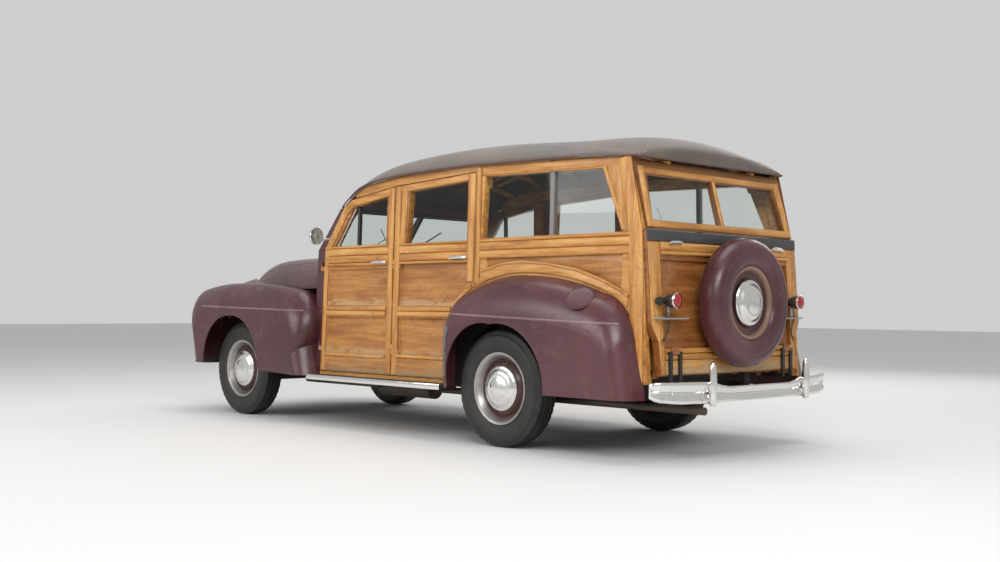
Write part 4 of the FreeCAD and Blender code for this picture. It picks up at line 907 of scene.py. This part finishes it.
def bumper(name, face_x, out, rise, node):
    # Half the blade as rows: how far back it lies, how far out, and its lower and upper edges.
    rows = [(0, 0, 331, 418), (-1, 150, 331, 418), (-4, 300, 331, 418), (-7, 372, 329, 428), (-10, 420, 327, 440),
            (-18, 520, 328, 449), (-42, 685, 330, 452), (-60, 745, 334, 452), (-86, 815, 342, 452),
            (-108, 838, 350, 449), (-130, 848, 361, 442)]
    # Its V-ridged section: rolled edges, two hollows and a ridge between them.
    section = [(26, 0.06), (14, 0.0), (4, 0.02), (0, 0.10), (2, 0.22), (7, 0.36), (9, 0.44), (2, 0.50), (9, 0.56),
               (7, 0.64), (2, 0.78), (0, 0.90), (4, 0.98), (14, 1.0), (26, 0.94), (24, 0.5)]
    rings = []
    for hand in (-1, 1):
        for back, y, low, high in rows[::-1] if hand < 0 else rows[1:]:
            ring = []
            for depth, share in section:
                x = face_x + out * (back - 22 - depth * (0.7 if y > 830 else 1))
                ring.append(at(x, hand * y, low + rise + (high - low) * share))
            rings.append(ring)
    if out > 0:
        rings = [ring[::-1] for ring in rings]
    shape = Shape()
    shape.take(*ringed(rings))
    for hand in (1, -1):
        # An upright over-rider, two bolts and the bar that carries the blade.
        guard = []
        for z, wide, thick in ((316, 34, 12), (322, 42, 22), (372, 46, 26), (430, 46, 30), (500, 42, 26),
                               (536, 36, 20), (550, 22, 12), (552, 8, 6)):
            ring = []
            for step in range(12):
                angle = 2 * math.pi * step / 12
                x = face_x + out * (-25 + thick * 0.8 * math.cos(angle))
                ring.append(at(x, hand * 470 + wide / 2 * math.sin(angle), z + rise))
            guard.append(ring[::out])
        shape.take(*ringed(guard))
        for y, back, lift in ((470, -20, 0), (750, -84, 14)):
            bolt(shape, at(face_x + out * back, hand * y, 376 + rise + lift), (out, 0.1 * hand, 0), 9)
    bar_start = -975.5 if out < 0 else 3440.5
    for hand in (1, -1):
        path = [at(bar_start, hand * 376, 355), at(face_x - out * 40, hand * 376, 355 + rise * 0.5)]
        shape.take(*swept(path, [(17, -25), (17, 25), (-17, 25), (-17, -25)], to_top), 1)
    shape.made(name, "root", [bright, chassis_black], 40, [node])


def mirror():
    # A round head on a bent arm from the door's front edge.
    head = at(1800, 899, 1340)
    back = Vector((1, 0.12, 0)).normalized()
    shape = Shape()
    bowl = [(60, -6), (61, -3), (61, 4), (59, 12), (53, 20), (42, 27), (26, 32), (10, 34), (0.02, 34.4)]
    shape.take(*turned(bowl, head, back, 40))
    points, faces = turned([(57, -4.5), (0.02, -4)], head, back, 40)
    shape.take(points, [f[::-1] for f in faces], 1)
    arm = [(1818, 897, 1336), (1822, 880, 1318), (1821, 850, 1312), (1816, 800, 1322), (1812, 748, 1330)]
    shape.take(*swept([at(*p) for p in arm], round_profile(6), to_top))
    plate = [(-12, -28), (12, -28), (14, 0), (10, 14), (-10, 14), (-14, 0)]
    foot = [at(*arm[-1]) + Vector((a / 1000, 0, b / 1000)) for a, b in plate]
    tip = at(1812, 748, 1325) + Vector((0, 0.016, 0))
    shape.take(*ringed([foot, [p + Vector((0, 0.010, 0)) for p in foot], [p * 0.7 + tip * 0.3 for p in foot]]))
    shape.made("mirror_head", "front_door_left", [bright, mirror_glass], 40, ["mirror"])


def handle(shape, x, z, hand):
    # A lever handle on a round escutcheon.
    out = side_out(hand)
    rose = [(17, -1), (17, 3), (13, 6), (9, 8), (8, 26), (0.02, 27)]
    shape.take(*turned(rose, on_side(x, z, 3, hand), out, 16))
    lever = [(-12, 0, 34), (0, 1, 37), (60, 2, 36), (125, 1, 32), (150, -2, 28)]
    path = [on_side(x + along, z + up, stand, hand) for along, up, stand in lever]
    shape.take(*swept(path, round_profile(10, 10, 0.75), out))


def door_fittings():
    for door, x, z in (("front_door", 1172, 1146), ("rear_door", 368, 1160)):
        for side, hand in both_sides:
            shape = Shape()
            handle(shape, x, z, hand)
            if door == "front_door":
                # The slim metal frame of the front window and its vent bar.
                for ends in (((1529, 1266), (1529, 1556)), ((1206, 1268), (1786, 1268)),
                             ((1786, 1268), (1576, 1534))):
                    path = [on_side(*end, -24, hand) for end in ends]
                    shape.take(*swept(path, round_profile(8, 8), side_out(hand)))
            shape.made(f"{door}_handle_{side}", f"{door}_{side}", bright, 40)


def gate_fittings():
    shape = Shape()
    for hand in (1, -1):
        place = on_tailgate(hand * 510, 1216, 14)
        lever = [(-52, 2), (-20, 5), (30, 3), (58, -3)]
        path = [place + Vector((-0.012, hand * a / 1000, b / 1000)) for a, b in lever]
        shape.take(*swept(path, round_profile(9, 10, 0.8), to_rear))
        shape.take(*turned([(12, 0), (12, 8), (8, 14), (0.02, 15)], place, (-1, 0, 0.07), 14))
    shape.made("tailgate_handles", "tailgate", bright, 40)
    latch = Shape()
    spots = [(600, 1345, 16), (604, 1375, 20), (612, 1400, 18), (614, 1412, 14)]
    latch.take(*swept([on_liftgate(*spot) for spot in spots], round_profile(4, 8), to_rear))
    latch.made("liftgate_latch", "liftgate", bright, 40)


def tail_lamps():
    # On each side a bent sheet bracket, a round lamp on a stem, a small plug and two wires.
    shape = Shape()
    shelf = [(472, -3), (690, -3), (712, 0), (726, 4), (726, 9), (712, 5), (690, 3), (472, 3)]
    bowl = [(12, -18), (14, 0), (24, 20), (36, 44), (41, 66), (42, 84)]
    rim = [(41, 82), (44, 86), (44, 94), (40, 98)]
    lens = [(39, 92), (37, 99), (28, 106), (14, 110), (0.02, 111)]
    for hand in (1, -1):
        rings = []
        for reach, widest, lift in ((2, 726, 0), (20, 726, 0), (44, 726, 0), (60, 690, 4)):
            rings.append([on_tailgate(hand * min(y, widest), 790 + z + lift, reach) for y, z in shelf])
        if hand < 0:
            rings = [ring[::-1] for ring in rings]
        shape.take(*ringed(rings), 0)
        for slot, profile in ((3, bowl), (1, rim), (2, lens)):
            shape.take(*turned(profile, on_tailgate(hand * 620, 892, 4), to_rear, 32), slot)
        stem = [on_tailgate(hand * 620, 793, 30), on_tailgate(hand * 620, 860, 30)]
        shape.take(*swept(stem, round_profile(9), to_rear), 0)
        plug = [(10, 0), (20, 10), (24, 26), (24, 34), (0.02, 38)]
        shape.take(*turned(plug, on_tailgate(hand * 700, 890, 12), to_rear, 20), 3)
        for start, inset in ((620, 0), (634, 14)):
            wire = [(0, 872, 24), (4, 800, 40), (-8, 740, 26), (14 - inset, 690, 14), (34, 650 + inset, 8),
                    (40, 624, 2)]
            path = smooth_path([on_tailgate(hand * (start + y), z, out) for y, z, out in wire], 5)
            shape.take(*swept(path, round_profile(2.6, 6), to_rear), 3)
    shape.made("tail_lamp_sets", "tailgate", [bracket_grey, bright, red_lens, chassis_black], 40, ["tail_lamps"])


def bent(a, b, c, d, steps):
    # The smooth curve from b up to c, where a and d come before and after them.
    curve = []
    for step in range(steps):
        t = step / steps
        second, third = 2 * a - 5 * b + 4 * c - d, 3 * b - a - 3 * c + d
        curve.append(0.5 * (2 * b + (c - a) * t + second * t * t + third * t ** 3))
    return curve


def smooth_path(points, steps):
    # A smooth curve through every given point.
    ends = [points[0]] + points + [points[-1]]
    path = []
    for a, b, c, d in zip(ends, ends[1:], ends[2:], ends[3:]):
        path += bent(a, b, c, d, steps)
    return path + [points[-1]]


def smooth_loop(points, steps):
    ring = []
    for number in range(len(points)):
        ring += bent(*(points[(number + k - 1) % len(points)] for k in range(4)), steps)
    return ring


def headlamps():
    shape = Shape()
    shell = [(84, -90), (90, -30), (97, -8), (98, 0), (98, 8), (94, 15), (88, 17), (86, 14)]
    lens = [(87, 10), (84, 14), (66, 17), (40, 17.8), (0.02, 18)]
    for hand in (1, -1):
        for slot, profile in enumerate((shell, lens)):
            shape.take(*turned(profile, at(3534, hand * 640, 800), to_front, 48), slot)
    shape.made("headlamp_sets", "root", [bright, lamp_glass], 40, ["headlamps"])


def running_board_trim():
    # Nine rubber ribs along each board and a bright strip on its edge.
    shape = Shape()
    for rib in range(9):
        y = 790 + rib * 11.5
        path = [at(492, y, 353.6), at(1884, y, 353.6)]
        shape.take(*swept(path, [(-1, -3.4), (3.2, -2.6), (3.2, 2.6), (-1, 3.4)], to_top), 0)
    outer = [at(472, 897, 341), at(500, 905, 341), at(1880, 905, 341), at(1905, 897, 341)]
    shape.take(*swept(outer, [(-3, -17), (3, -17), (5, -10), (5, 10), (3, 17), (-3, 17)], to_left), 1)
    shape.both_hands()
    shape.made("running_board_trim", "root", [mat_black, bright], 40)


mirror_glass = plating("mirror face", (0.85, 0.86, 0.87), 0.02, 0.0, 0.05)
lamp_glass = plating("fluted lamp glass", (0.72, 0.74, 0.73), 0.22, 0.6, 0.1)
bumper("rear_bumper_blade", -1340.0, -1, 0, "rear_bumper")
bumper("front_bumper_blade", 3694.0, 1, 30, "front_bumper")
mirror()
door_fittings()
gate_fittings()
tail_lamps()
headlamps()
running_board_trim()

# Details that lie on the painted body

# Where rays towards it start, clear of its sides and of its hood.
beside, above = 1300, 1500


def surface_of(node):
    return BVHTree.FromObject(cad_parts[node], bpy.context.evaluated_depsgraph_get())


def met(surface, start, direction):
    # Where a line meets a solid, and the outward normal there.
    place, normal, _, _ = surface.ray_cast(start, Vector(direction).normalized())
    if place is None:
        return None, None
    if normal.dot(Vector(direction)) > 0:
        normal = -normal
    return place, normal


def bead_on(shape, surface, starts, direction, width, stand, slot=0):
    # A raised line along the surface under a row of points.
    path = []
    outs = []
    for start in starts:
        place, normal = met(surface, start, direction)
        if place is not None:
            path.append(place)
            outs.append(normal)
    if len(path) > 1:
        shape.take(*swept(path, half_round(width, stand, -2.0, 1.0, 8), outs), slot)


def fender_trim():
    shape = Shape()
    rear = surface_of("rear_fenders")
    front = surface_of("front_fenders")
    # The fender beads, in slot 3, take the paler maroon painted as the highlight along their crests.
    for surface, x0, x1, z0, z1 in ((rear, 430, -960, 806, 762), (front, 3330, 1915, 836, 808)):
        line = [at(mix(x0, x1, i / 28), beside, mix(z0, z1, i / 28)) for i in range(29)]
        bead_on(shape, surface, line, (0, -1, 0), 13, 3.5, 3)
    # The rolled edges of the wheel openings.
    for surface, axle_x, spots in ((rear, 0, ((366, 352), (300, 640), (-10, 745), (-345, 640), (-458, 352))),
                                   (front, wheelbase, ((2500, 352), (2590, 640), (2900, 765), (3170, 660),
                                                       (3262, 352)))):
        path = []
        for x, z in arc_points(*spots[:3], 24) + arc_points(*spots[2:], 24)[1:]:
            x, z = axle_x + (x - axle_x) * 1.012, tyre_radius + (z - tyre_radius) * 1.012
            place, _ = met(surface, at(x, beside, z), (0, -1, 0))
            if place is not None:
                path.append(place - Vector((0, 0.0048, 0)))
        shape.take(*swept(path, round_profile(5.5, 8), to_left), 0)
    # The stone guard wraps the rear fender's front edge.
    rings = []
    for i in range(25):
        z = mix(420, 728, i / 24)
        edge = 520
        while edge > 330:
            place, _ = met(rear, at(edge, beside, z), (0, -1, 0))
            if place is not None and place.y > 0.905:
                break
            edge -= 2
        wide = 50 + 12 * abs(math.sin(math.pi * i / 6))
        row = [met(rear, at(edge + 9 - wide * t, beside, z), (0, -1, 0))
               for t in (0, 0.1, 0.2, 0.35, 0.5, 0.75, 1.0)]
        if all(place is not None for place, _ in row):
            outer = [place + normal * 0.0045 for place, normal in row]
            rings.append(outer + [place - normal * 0.002 for place, normal in row[::-1]])
    if len(rings) > 2:
        shape.take(*ringed(rings), 2)
    shape.both_hands()
    # The fuel filler's round door, on the left only.
    place, normal = met(rear, at(-765, 1150, 1172), (0.2, -0.71, -0.67))
    shape.take(*turned([(81, -12), (81, 1.5), (78, 3), (74, 3.6), (40, 4.6), (0.02, 5)], place, normal, 40), 0)
    shape.take(*turned([(82, -12), (87, -6), (88, 1.0), (85, 1.6), (82, 0.4)], place, normal, 40), 1)
    shape.made("fender_trim", "root", [maroon, dark_paint, guard_rubber, bead_highlight_maroon], 40)


def hood_trim():
    # A bright strip along the middle and a crease on each side of it.
    shape = Shape()
    surface = surface_of("hood")
    for x0, x1, y0, y1, width, stand, slot in ((2020, 3470, 0, 0, 16, 5, 1), (2060, 3380, 600, 440, 6, 1.2, 0),
                                               (2060, 3380, -600, -440, 6, 1.2, 0)):
        line = [at(mix(x0, x1, i / 50), mix(y0, y1, i / 50), above) for i in range(51)]
        bead_on(shape, surface, line, (0, 0, -1), width, stand, slot)
    shape.made("hood_trim", "hood", [dark_paint, bright], 40)


def windscreen_trim():
    # Rubber seals round both panes and two wiper blades.
    shape = Shape()
    out = Vector((0.78, 0, 0.62))
    corners = [(16, 1275), (665, 1275), (607, 1521), (16, 1521)]
    for hand in (1, -1):
        path = []
        for (y0, z0), (y1, z1) in zip(corners, corners[1:] + corners[:1]):
            for i in range(6):
                y, z = mix(y0, y1, i / 6), mix(z0, z1, i / 6)
                path.append(at(1936 - (z - 1250) * 246 / 306 + 8, hand * y, z))
        shape.take(*swept(path, round_profile(8, 8), out, True), 0)
        arm = [at(1948, hand * 300, 1268), at(1905, hand * 250, 1322), at(1880, hand * 210, 1350)]
        shape.take(*swept(arm, round_profile(3.5, 8), out), 1)
        blade = [at(1938, hand * 120, 1284), at(1880, hand * 210, 1350), at(1820, hand * 300, 1420)]
        shape.take(*swept(blade, [(-2, -3), (9, -1), (9, 1), (-2, 3)], out), 0)
    shape.made("windshield_seals", "root", [mat_black, bright], 40)


def grille():
    # Bright horizontal bars with a centre rib across the nose, in a bright surround.
    shape = Shape()
    for i in range(9):
        z = 540 + i * 23
        half = 344 - abs(i - 3) * 1.2
        path = [at(3474 + 16 * math.cos(y / 380 * 1.4), y, z) for y in (-half, -half / 2, 0, half / 2, half)]
        shape.take(*swept(path, [(-8, -5), (5, -5), (8, 0), (5, 5), (-8, 5)], to_front), 0)
    rib = [(-8, -16), (4, -14), (9, 0), (4, 14), (-8, 16)]
    shape.take(*swept([at(3492, 0, 522), at(3494, 0, 738)], rib, to_front), 0)
    surround = [(-348, 524), (0, 518), (348, 524), (352, 630), (338, 744), (0, 750), (-338, 744), (-352, 630)]
    ring = smooth_loop([at(3466, y, z) for y, z in surround], 4)
    shape.take(*swept(ring, round_profile(11, 8), to_front, True), 0)
    shape.made("grille_bars", "root", bright, 40)


def nose_returns():
    # Narrow pressed sides that join the nose plate to the front lips of the fenders.
    shape = Shape()
    fenders = surface_of("front_fenders")
    rings = []
    for i in range(15):
        z = mix(420, 914, i / 14)
        place, _ = met(fenders, at(4400, 386, z), (-1, 0, 0))
        if place is None:
            continue
        back = at(3456, 371, z)
        outline = ((back.x, 371), (place.x - 0.004, 371), (place.x - 0.001, 375), (place.x - 0.001, 380),
                   (back.x, 377.4))
        rings.append([Vector((x, y / 1000, back.z)) for x, y in outline])
    shape.take(*ringed(rings))
    shape.both_hands()
    shape.made("nose_returns", "root", maroon, 40)


# The roof's lower edge from the rear to the windscreen: x, half width and height.
eaves = [(-985, 720, 1698), (-900, 764, 1700), (-450, 768, 1722), (350, 768, 1738), (1050, 768, 1724),
         (1440, 762, 1680), (1640, 752, 1588), (1716, 738, 1545)]


def eave_height(x):
    for (x0, _, z0), (x1, _, z1) in zip(eaves, eaves[1:]):
        if x <= x1:
            return mix(z0, z1, max(0.0, (x - x0) / (x1 - x0)))
    return eaves[-1][2]


def roof_sheet():
    # One coated sheet stretched over the roof: rays from outside find the roof's outer face.
    surface = surface_of("roof")
    long_steps, cross_steps = 90, 56
    points = []
    for i in range(long_steps + 1):
        s = 2 * i / long_steps - 1
        tip = s * abs(s) ** 5 * 1.35
        x = mix(-940, 1665, (s + 1) / 2)
        for j in range(cross_steps + 1):
            t = 2 * j / cross_steps - 1
            lean_out = t * abs(t) ** 3 * 1.5
            aim = Vector((math.sin(tip), math.sin(lean_out) * math.cos(tip),
                          math.cos(tip) * math.cos(lean_out)))
            root = at(x, t * 690, eave_height(x + s * abs(s) ** 5 * 45) + 8)
            place, normal = met(surface, root + aim * 0.6, -aim)
            if place is None:
                place, normal, _, _ = surface.find_nearest(root + aim * 0.1)
                if normal.dot(aim) < 0:
                    normal = -normal
            points.append(place + normal * 0.0006)
    faces = []
    for i in range(long_steps):
        for j in range(cross_steps):
            a = i * (cross_steps + 1) + j
            faces.append((a, a + 1, a + cross_steps + 2, a + cross_steps + 1))
    # The hem: the edge drops to the roof's foot and turns under it.
    row = cross_steps + 1
    rim = list(range(row)) + [i * row + cross_steps for i in range(1, long_steps + 1)]
    rim += [long_steps * row + j for j in range(cross_steps - 1, -1, -1)]
    rim += [i * row for i in range(long_steps - 1, 0, -1)]
    first = len(points)
    for number in rim:
        place = points[number]
        x = place.x * 1000 + origin_x
        foot = Vector((place.x, place.y, at(0, 0, eave_height(x)).z + 0.0004))
        points.append(foot)
        points.append(Vector((foot.x * 0.99, foot.y * 0.975, foot.z)))
    count = len(rim)
    for k in range(count):
        after = (k + 1) % count
        low_a, low_b = first + 2 * k, first + 2 * after
        faces.append((rim[after], rim[k], low_a, low_b))
        faces.append((low_b, low_a, low_a + 1, low_b + 1))
    shape = Shape()
    shape.take(points, faces, 0)
    cover = shape.made("roof_sheet", "root", roof_cover, 60, ["roof"])


def roof_lines():
    # A thin welt under the cover's edge and the seams at its rear corners.
    shape = Shape()
    path = smooth_path([at(x, y - 3, z + 5) for x, y, z in eaves], 6)
    shape.take(*swept(path, round_profile(6, 8, 0.8), to_left), 0)
    shape.both_hands()
    across = smooth_path([at(-982, y, 1701) for y in (-718, -400, 0, 400, 718)], 4)
    shape.take(*swept(across, round_profile(6, 8), to_rear), 0)
    front = smooth_path([at(1712, y, 1550) for y in (-736, -400, 0, 400, 736)], 4)
    shape.take(*swept(front, round_profile(6, 8), to_front), 0)
    surface = surface_of("roof")
    for hand in (1, -1):
        seam = []
        outs = []
        for i in range(22):
            t = i / 21
            start = at(mix(-1400, -860, t), hand * mix(690, 700, t), mix(1760, 2300, t))
            aim = at(mix(-960, -890, t), hand * mix(700, 500, t), mix(1702, 1700, t))
            place, normal = met(surface, start, aim - start)
            if place is not None:
                seam.append(place)
                outs.append(normal)
        if len(seam) > 3:
            shape.take(*swept(seam, half_round(12, 3.2, -2, 1.0, 8), outs), 1)
    shape.made("roof_edge", "root", [hem_brown, roof_cover], 40)


def roof_slats():
    # Thin slats under the roof, and the bows that carry them.
    shape = Shape()
    ridge = [(-930, 1792), (-700, 1838), (-450, 1866), (0, 1892), (350, 1906), (700, 1904), (1050, 1884),
             (1300, 1838), (1420, 1796)]
    for number in range(11):
        y = -500 + number * 100
        drop = (abs(y) / 710) ** 2 * 60
        path = smooth_path([at(x, y, z - drop - 6) for x, z in ridge], 4)
        shape.take(*swept(path, [(-5, -19), (5, -19), (5, 19), (-5, 19)], to_top), 0, new_board())
    spread = (-660, -560, -420, -220, 0, 220, 420, 560, 660)
    for x, z in ((-700, 1826), (-200, 1868), (306, 1892), (720, 1890), (1110, 1862), (1400, 1790)):
        bow = smooth_path([at(x, y, z - (abs(y) / 690) ** 2.4 * 100) for y in spread], 4)
        shape.take(*swept(bow, [(-11, -22), (11, -22), (11, 22), (-11, 22)], to_top), 1, new_board())
    shape.made("roof_slats", "root", [slat_wood, cross_wood], 40)


fender_trim()
hood_trim()
windscreen_trim()
grille()
nose_returns()
roof_lines()
roof_slats()
roof_sheet()

# Seats and the rest of the inside


def cushion(name, low, high, crown, pleats, facing):
    # A stuffed pad in the box from low to high.  Its sides pull in between the corners, and sewn
    # channels cross it.
    size = high - low
    middle = (low + high) / 2
    across, deep = 96, 20
    rings = []
    for step in range(across + 1):
        v = -1 + 2 * step / across
        end = (1 - abs(v) ** 26) ** 0.5
        ring = []
        for turn in range(4 * deep):
            angle = 2 * math.pi * turn / (4 * deep)
            c, s = math.cos(angle), math.sin(angle)
            a = math.copysign(abs(c) ** 0.42, c) * (0.985 - 0.02 * (1 - v * v))
            b = math.copysign(abs(s) ** 0.5, s)
            puff = crown * (1 - v ** 4) * max(0, 1 - a * a) * (1 if b > 0 else 0.3)
            channel = 0.012 * abs(math.sin(math.pi * pleats * (v + 1) / 2)) ** 0.35 - 0.012
            if abs(b) > 0.4:
                b = b * 0.94 + math.copysign(puff + channel * 1.2 * (abs(a) < 0.9), b)
            else:
                b = b * 0.94
            wave = 0.004 * math.sin(5.1 * v + 2.3 * a) + 0.003 * math.sin(13 * v)
            if facing == "up":
                x, z = a * size.x / 2 * end, (b + wave) * size.z / 2 * end
            else:
                x, z = b * size.x / 2 * end + (a + 1) * -0.022, (a + wave) * size.z / 2 * end
            ring.append(middle + Vector((x, v * size.y / 2, z)))
        rings.append(ring)
    if facing != "up":
        rings = rings[::-1]
    points, faces = ringed(rings)
    pad = piece(name, "root", seat_cover, points, faces, 70)


def bench(row, back_x, length, seat_z, back_z, half, floor_z):
    # A padded cushion and back on a steel base.
    cushion(f"{row}_cushion", at(back_x + 120, -half + 4, seat_z - 135),
            at(back_x + length + 14, half - 4, seat_z + 8), 0.16, 14, "up")
    cushion(f"{row}_back", at(back_x + 30, -half + 4, seat_z - 30), at(back_x + 145, half - 4, back_z - 8),
            0.18, 14, "forward")
    base = Shape()
    front = back_x + length - 40
    leg = [(back_x + 30, floor_z + 2), (front, floor_z + 2), (front + 26, seat_z - 140),
           (back_x + 30, seat_z - 140)]
    for y0, y1 in ((-half + 30, -half + 70), (half - 70, half - 30)):
        base.take(*ringed([[at(x, y, z) for x, z in leg] for y in (y0, y1)]))
    path = [at(front + 8, -half + 24, seat_z - 150), at(front + 8, half - 24, seat_z - 150)]
    base.take(*swept(path, round_profile(14, 10), to_top))
    panel = [(back_x + 12, seat_z - 120), (back_x + 26, back_z - 60), (back_x + 34, back_z - 60),
             (back_x + 28, seat_z - 120)]
    base.take(*ringed([[at(x, y, z) for x, z in panel] for y in (-half + 14, half - 14)]))
    base.made(f"{row}_base", "root", dark_paint, 40, [row])


def inside():
    # Each bench: rear edge, length, heights of cushion and back, half width and the floor's height.
    for row, *sizes in (("front_seat", 1075, 500, 830, 1225, 640, 462),
                        ("middle_seat", 400, 450, 830, 1235, 640, 462),
                        ("rear_seat", -560, 450, 950, 1290, 545, 685)):
        bench(row, *sizes)
    dials = Shape()
    back = Vector((-1, 0, 0.08))
    for y, radius in ((372, 52), (250, 34), (494, 34), (-120, 40)):
        rim = [(radius, -8), (radius, 6), (radius - 3, 9), (radius - 6, 6)]
        for slot, profile in enumerate((rim, [(radius - 5, 4), (0.02, 4)])):
            dials.take(*turned(profile, at(1692, y, 1150), back, 28), slot)
    dials.made("dials", "root", [bright, strip_grey], 40)
    wheel = Shape()
    hub = at(1452, 372, 1128)
    rake = math.radians(37)
    axis = Vector((-math.cos(rake), 0, math.sin(rake)))
    first = to_left
    second = axis.cross(first)
    ring = []
    for step in range(96):
        angle = 2 * math.pi * step / 96
        ring.append(hub + (first * math.cos(angle) + second * math.sin(angle)) * 0.205)
    wheel.take(*swept(ring, round_profile(11, 10), axis, True), 0)
    boss = [(20, -12), (34, -10), (34, 18), (30, 24), (18, 30), (0.02, 31)]
    wheel.take(*turned(boss, hub, axis, 36), 0)
    wheel.take(*turned([(24, 26), (24, 31), (20, 34), (10, 36), (0.02, 36.4)], hub, axis, 30), 1)
    for hand in (1, -1):
        spoke = [hub + (first * hand * r / 1000) + axis * (0.010 * (1 - r / 205)) for r in (20, 80, 140, 200)]
        wheel.take(*swept(spoke, [(-4, -11), (4, -9), (4, 9), (-4, 11)], axis), 0)
    horn = []
    for step in range(33):
        angle = math.radians(200 + 140 * step / 32)
        horn.append(hub + (first * math.cos(angle) + second * math.sin(angle)) * 0.120 + axis * 0.012)
    wheel.take(*swept(horn, round_profile(4, 8), axis), 1)
    wheel.made("steering_rim", "steering_wheel", [wheel_plastic, bright], 40, ["steering_wheel"])


inside()
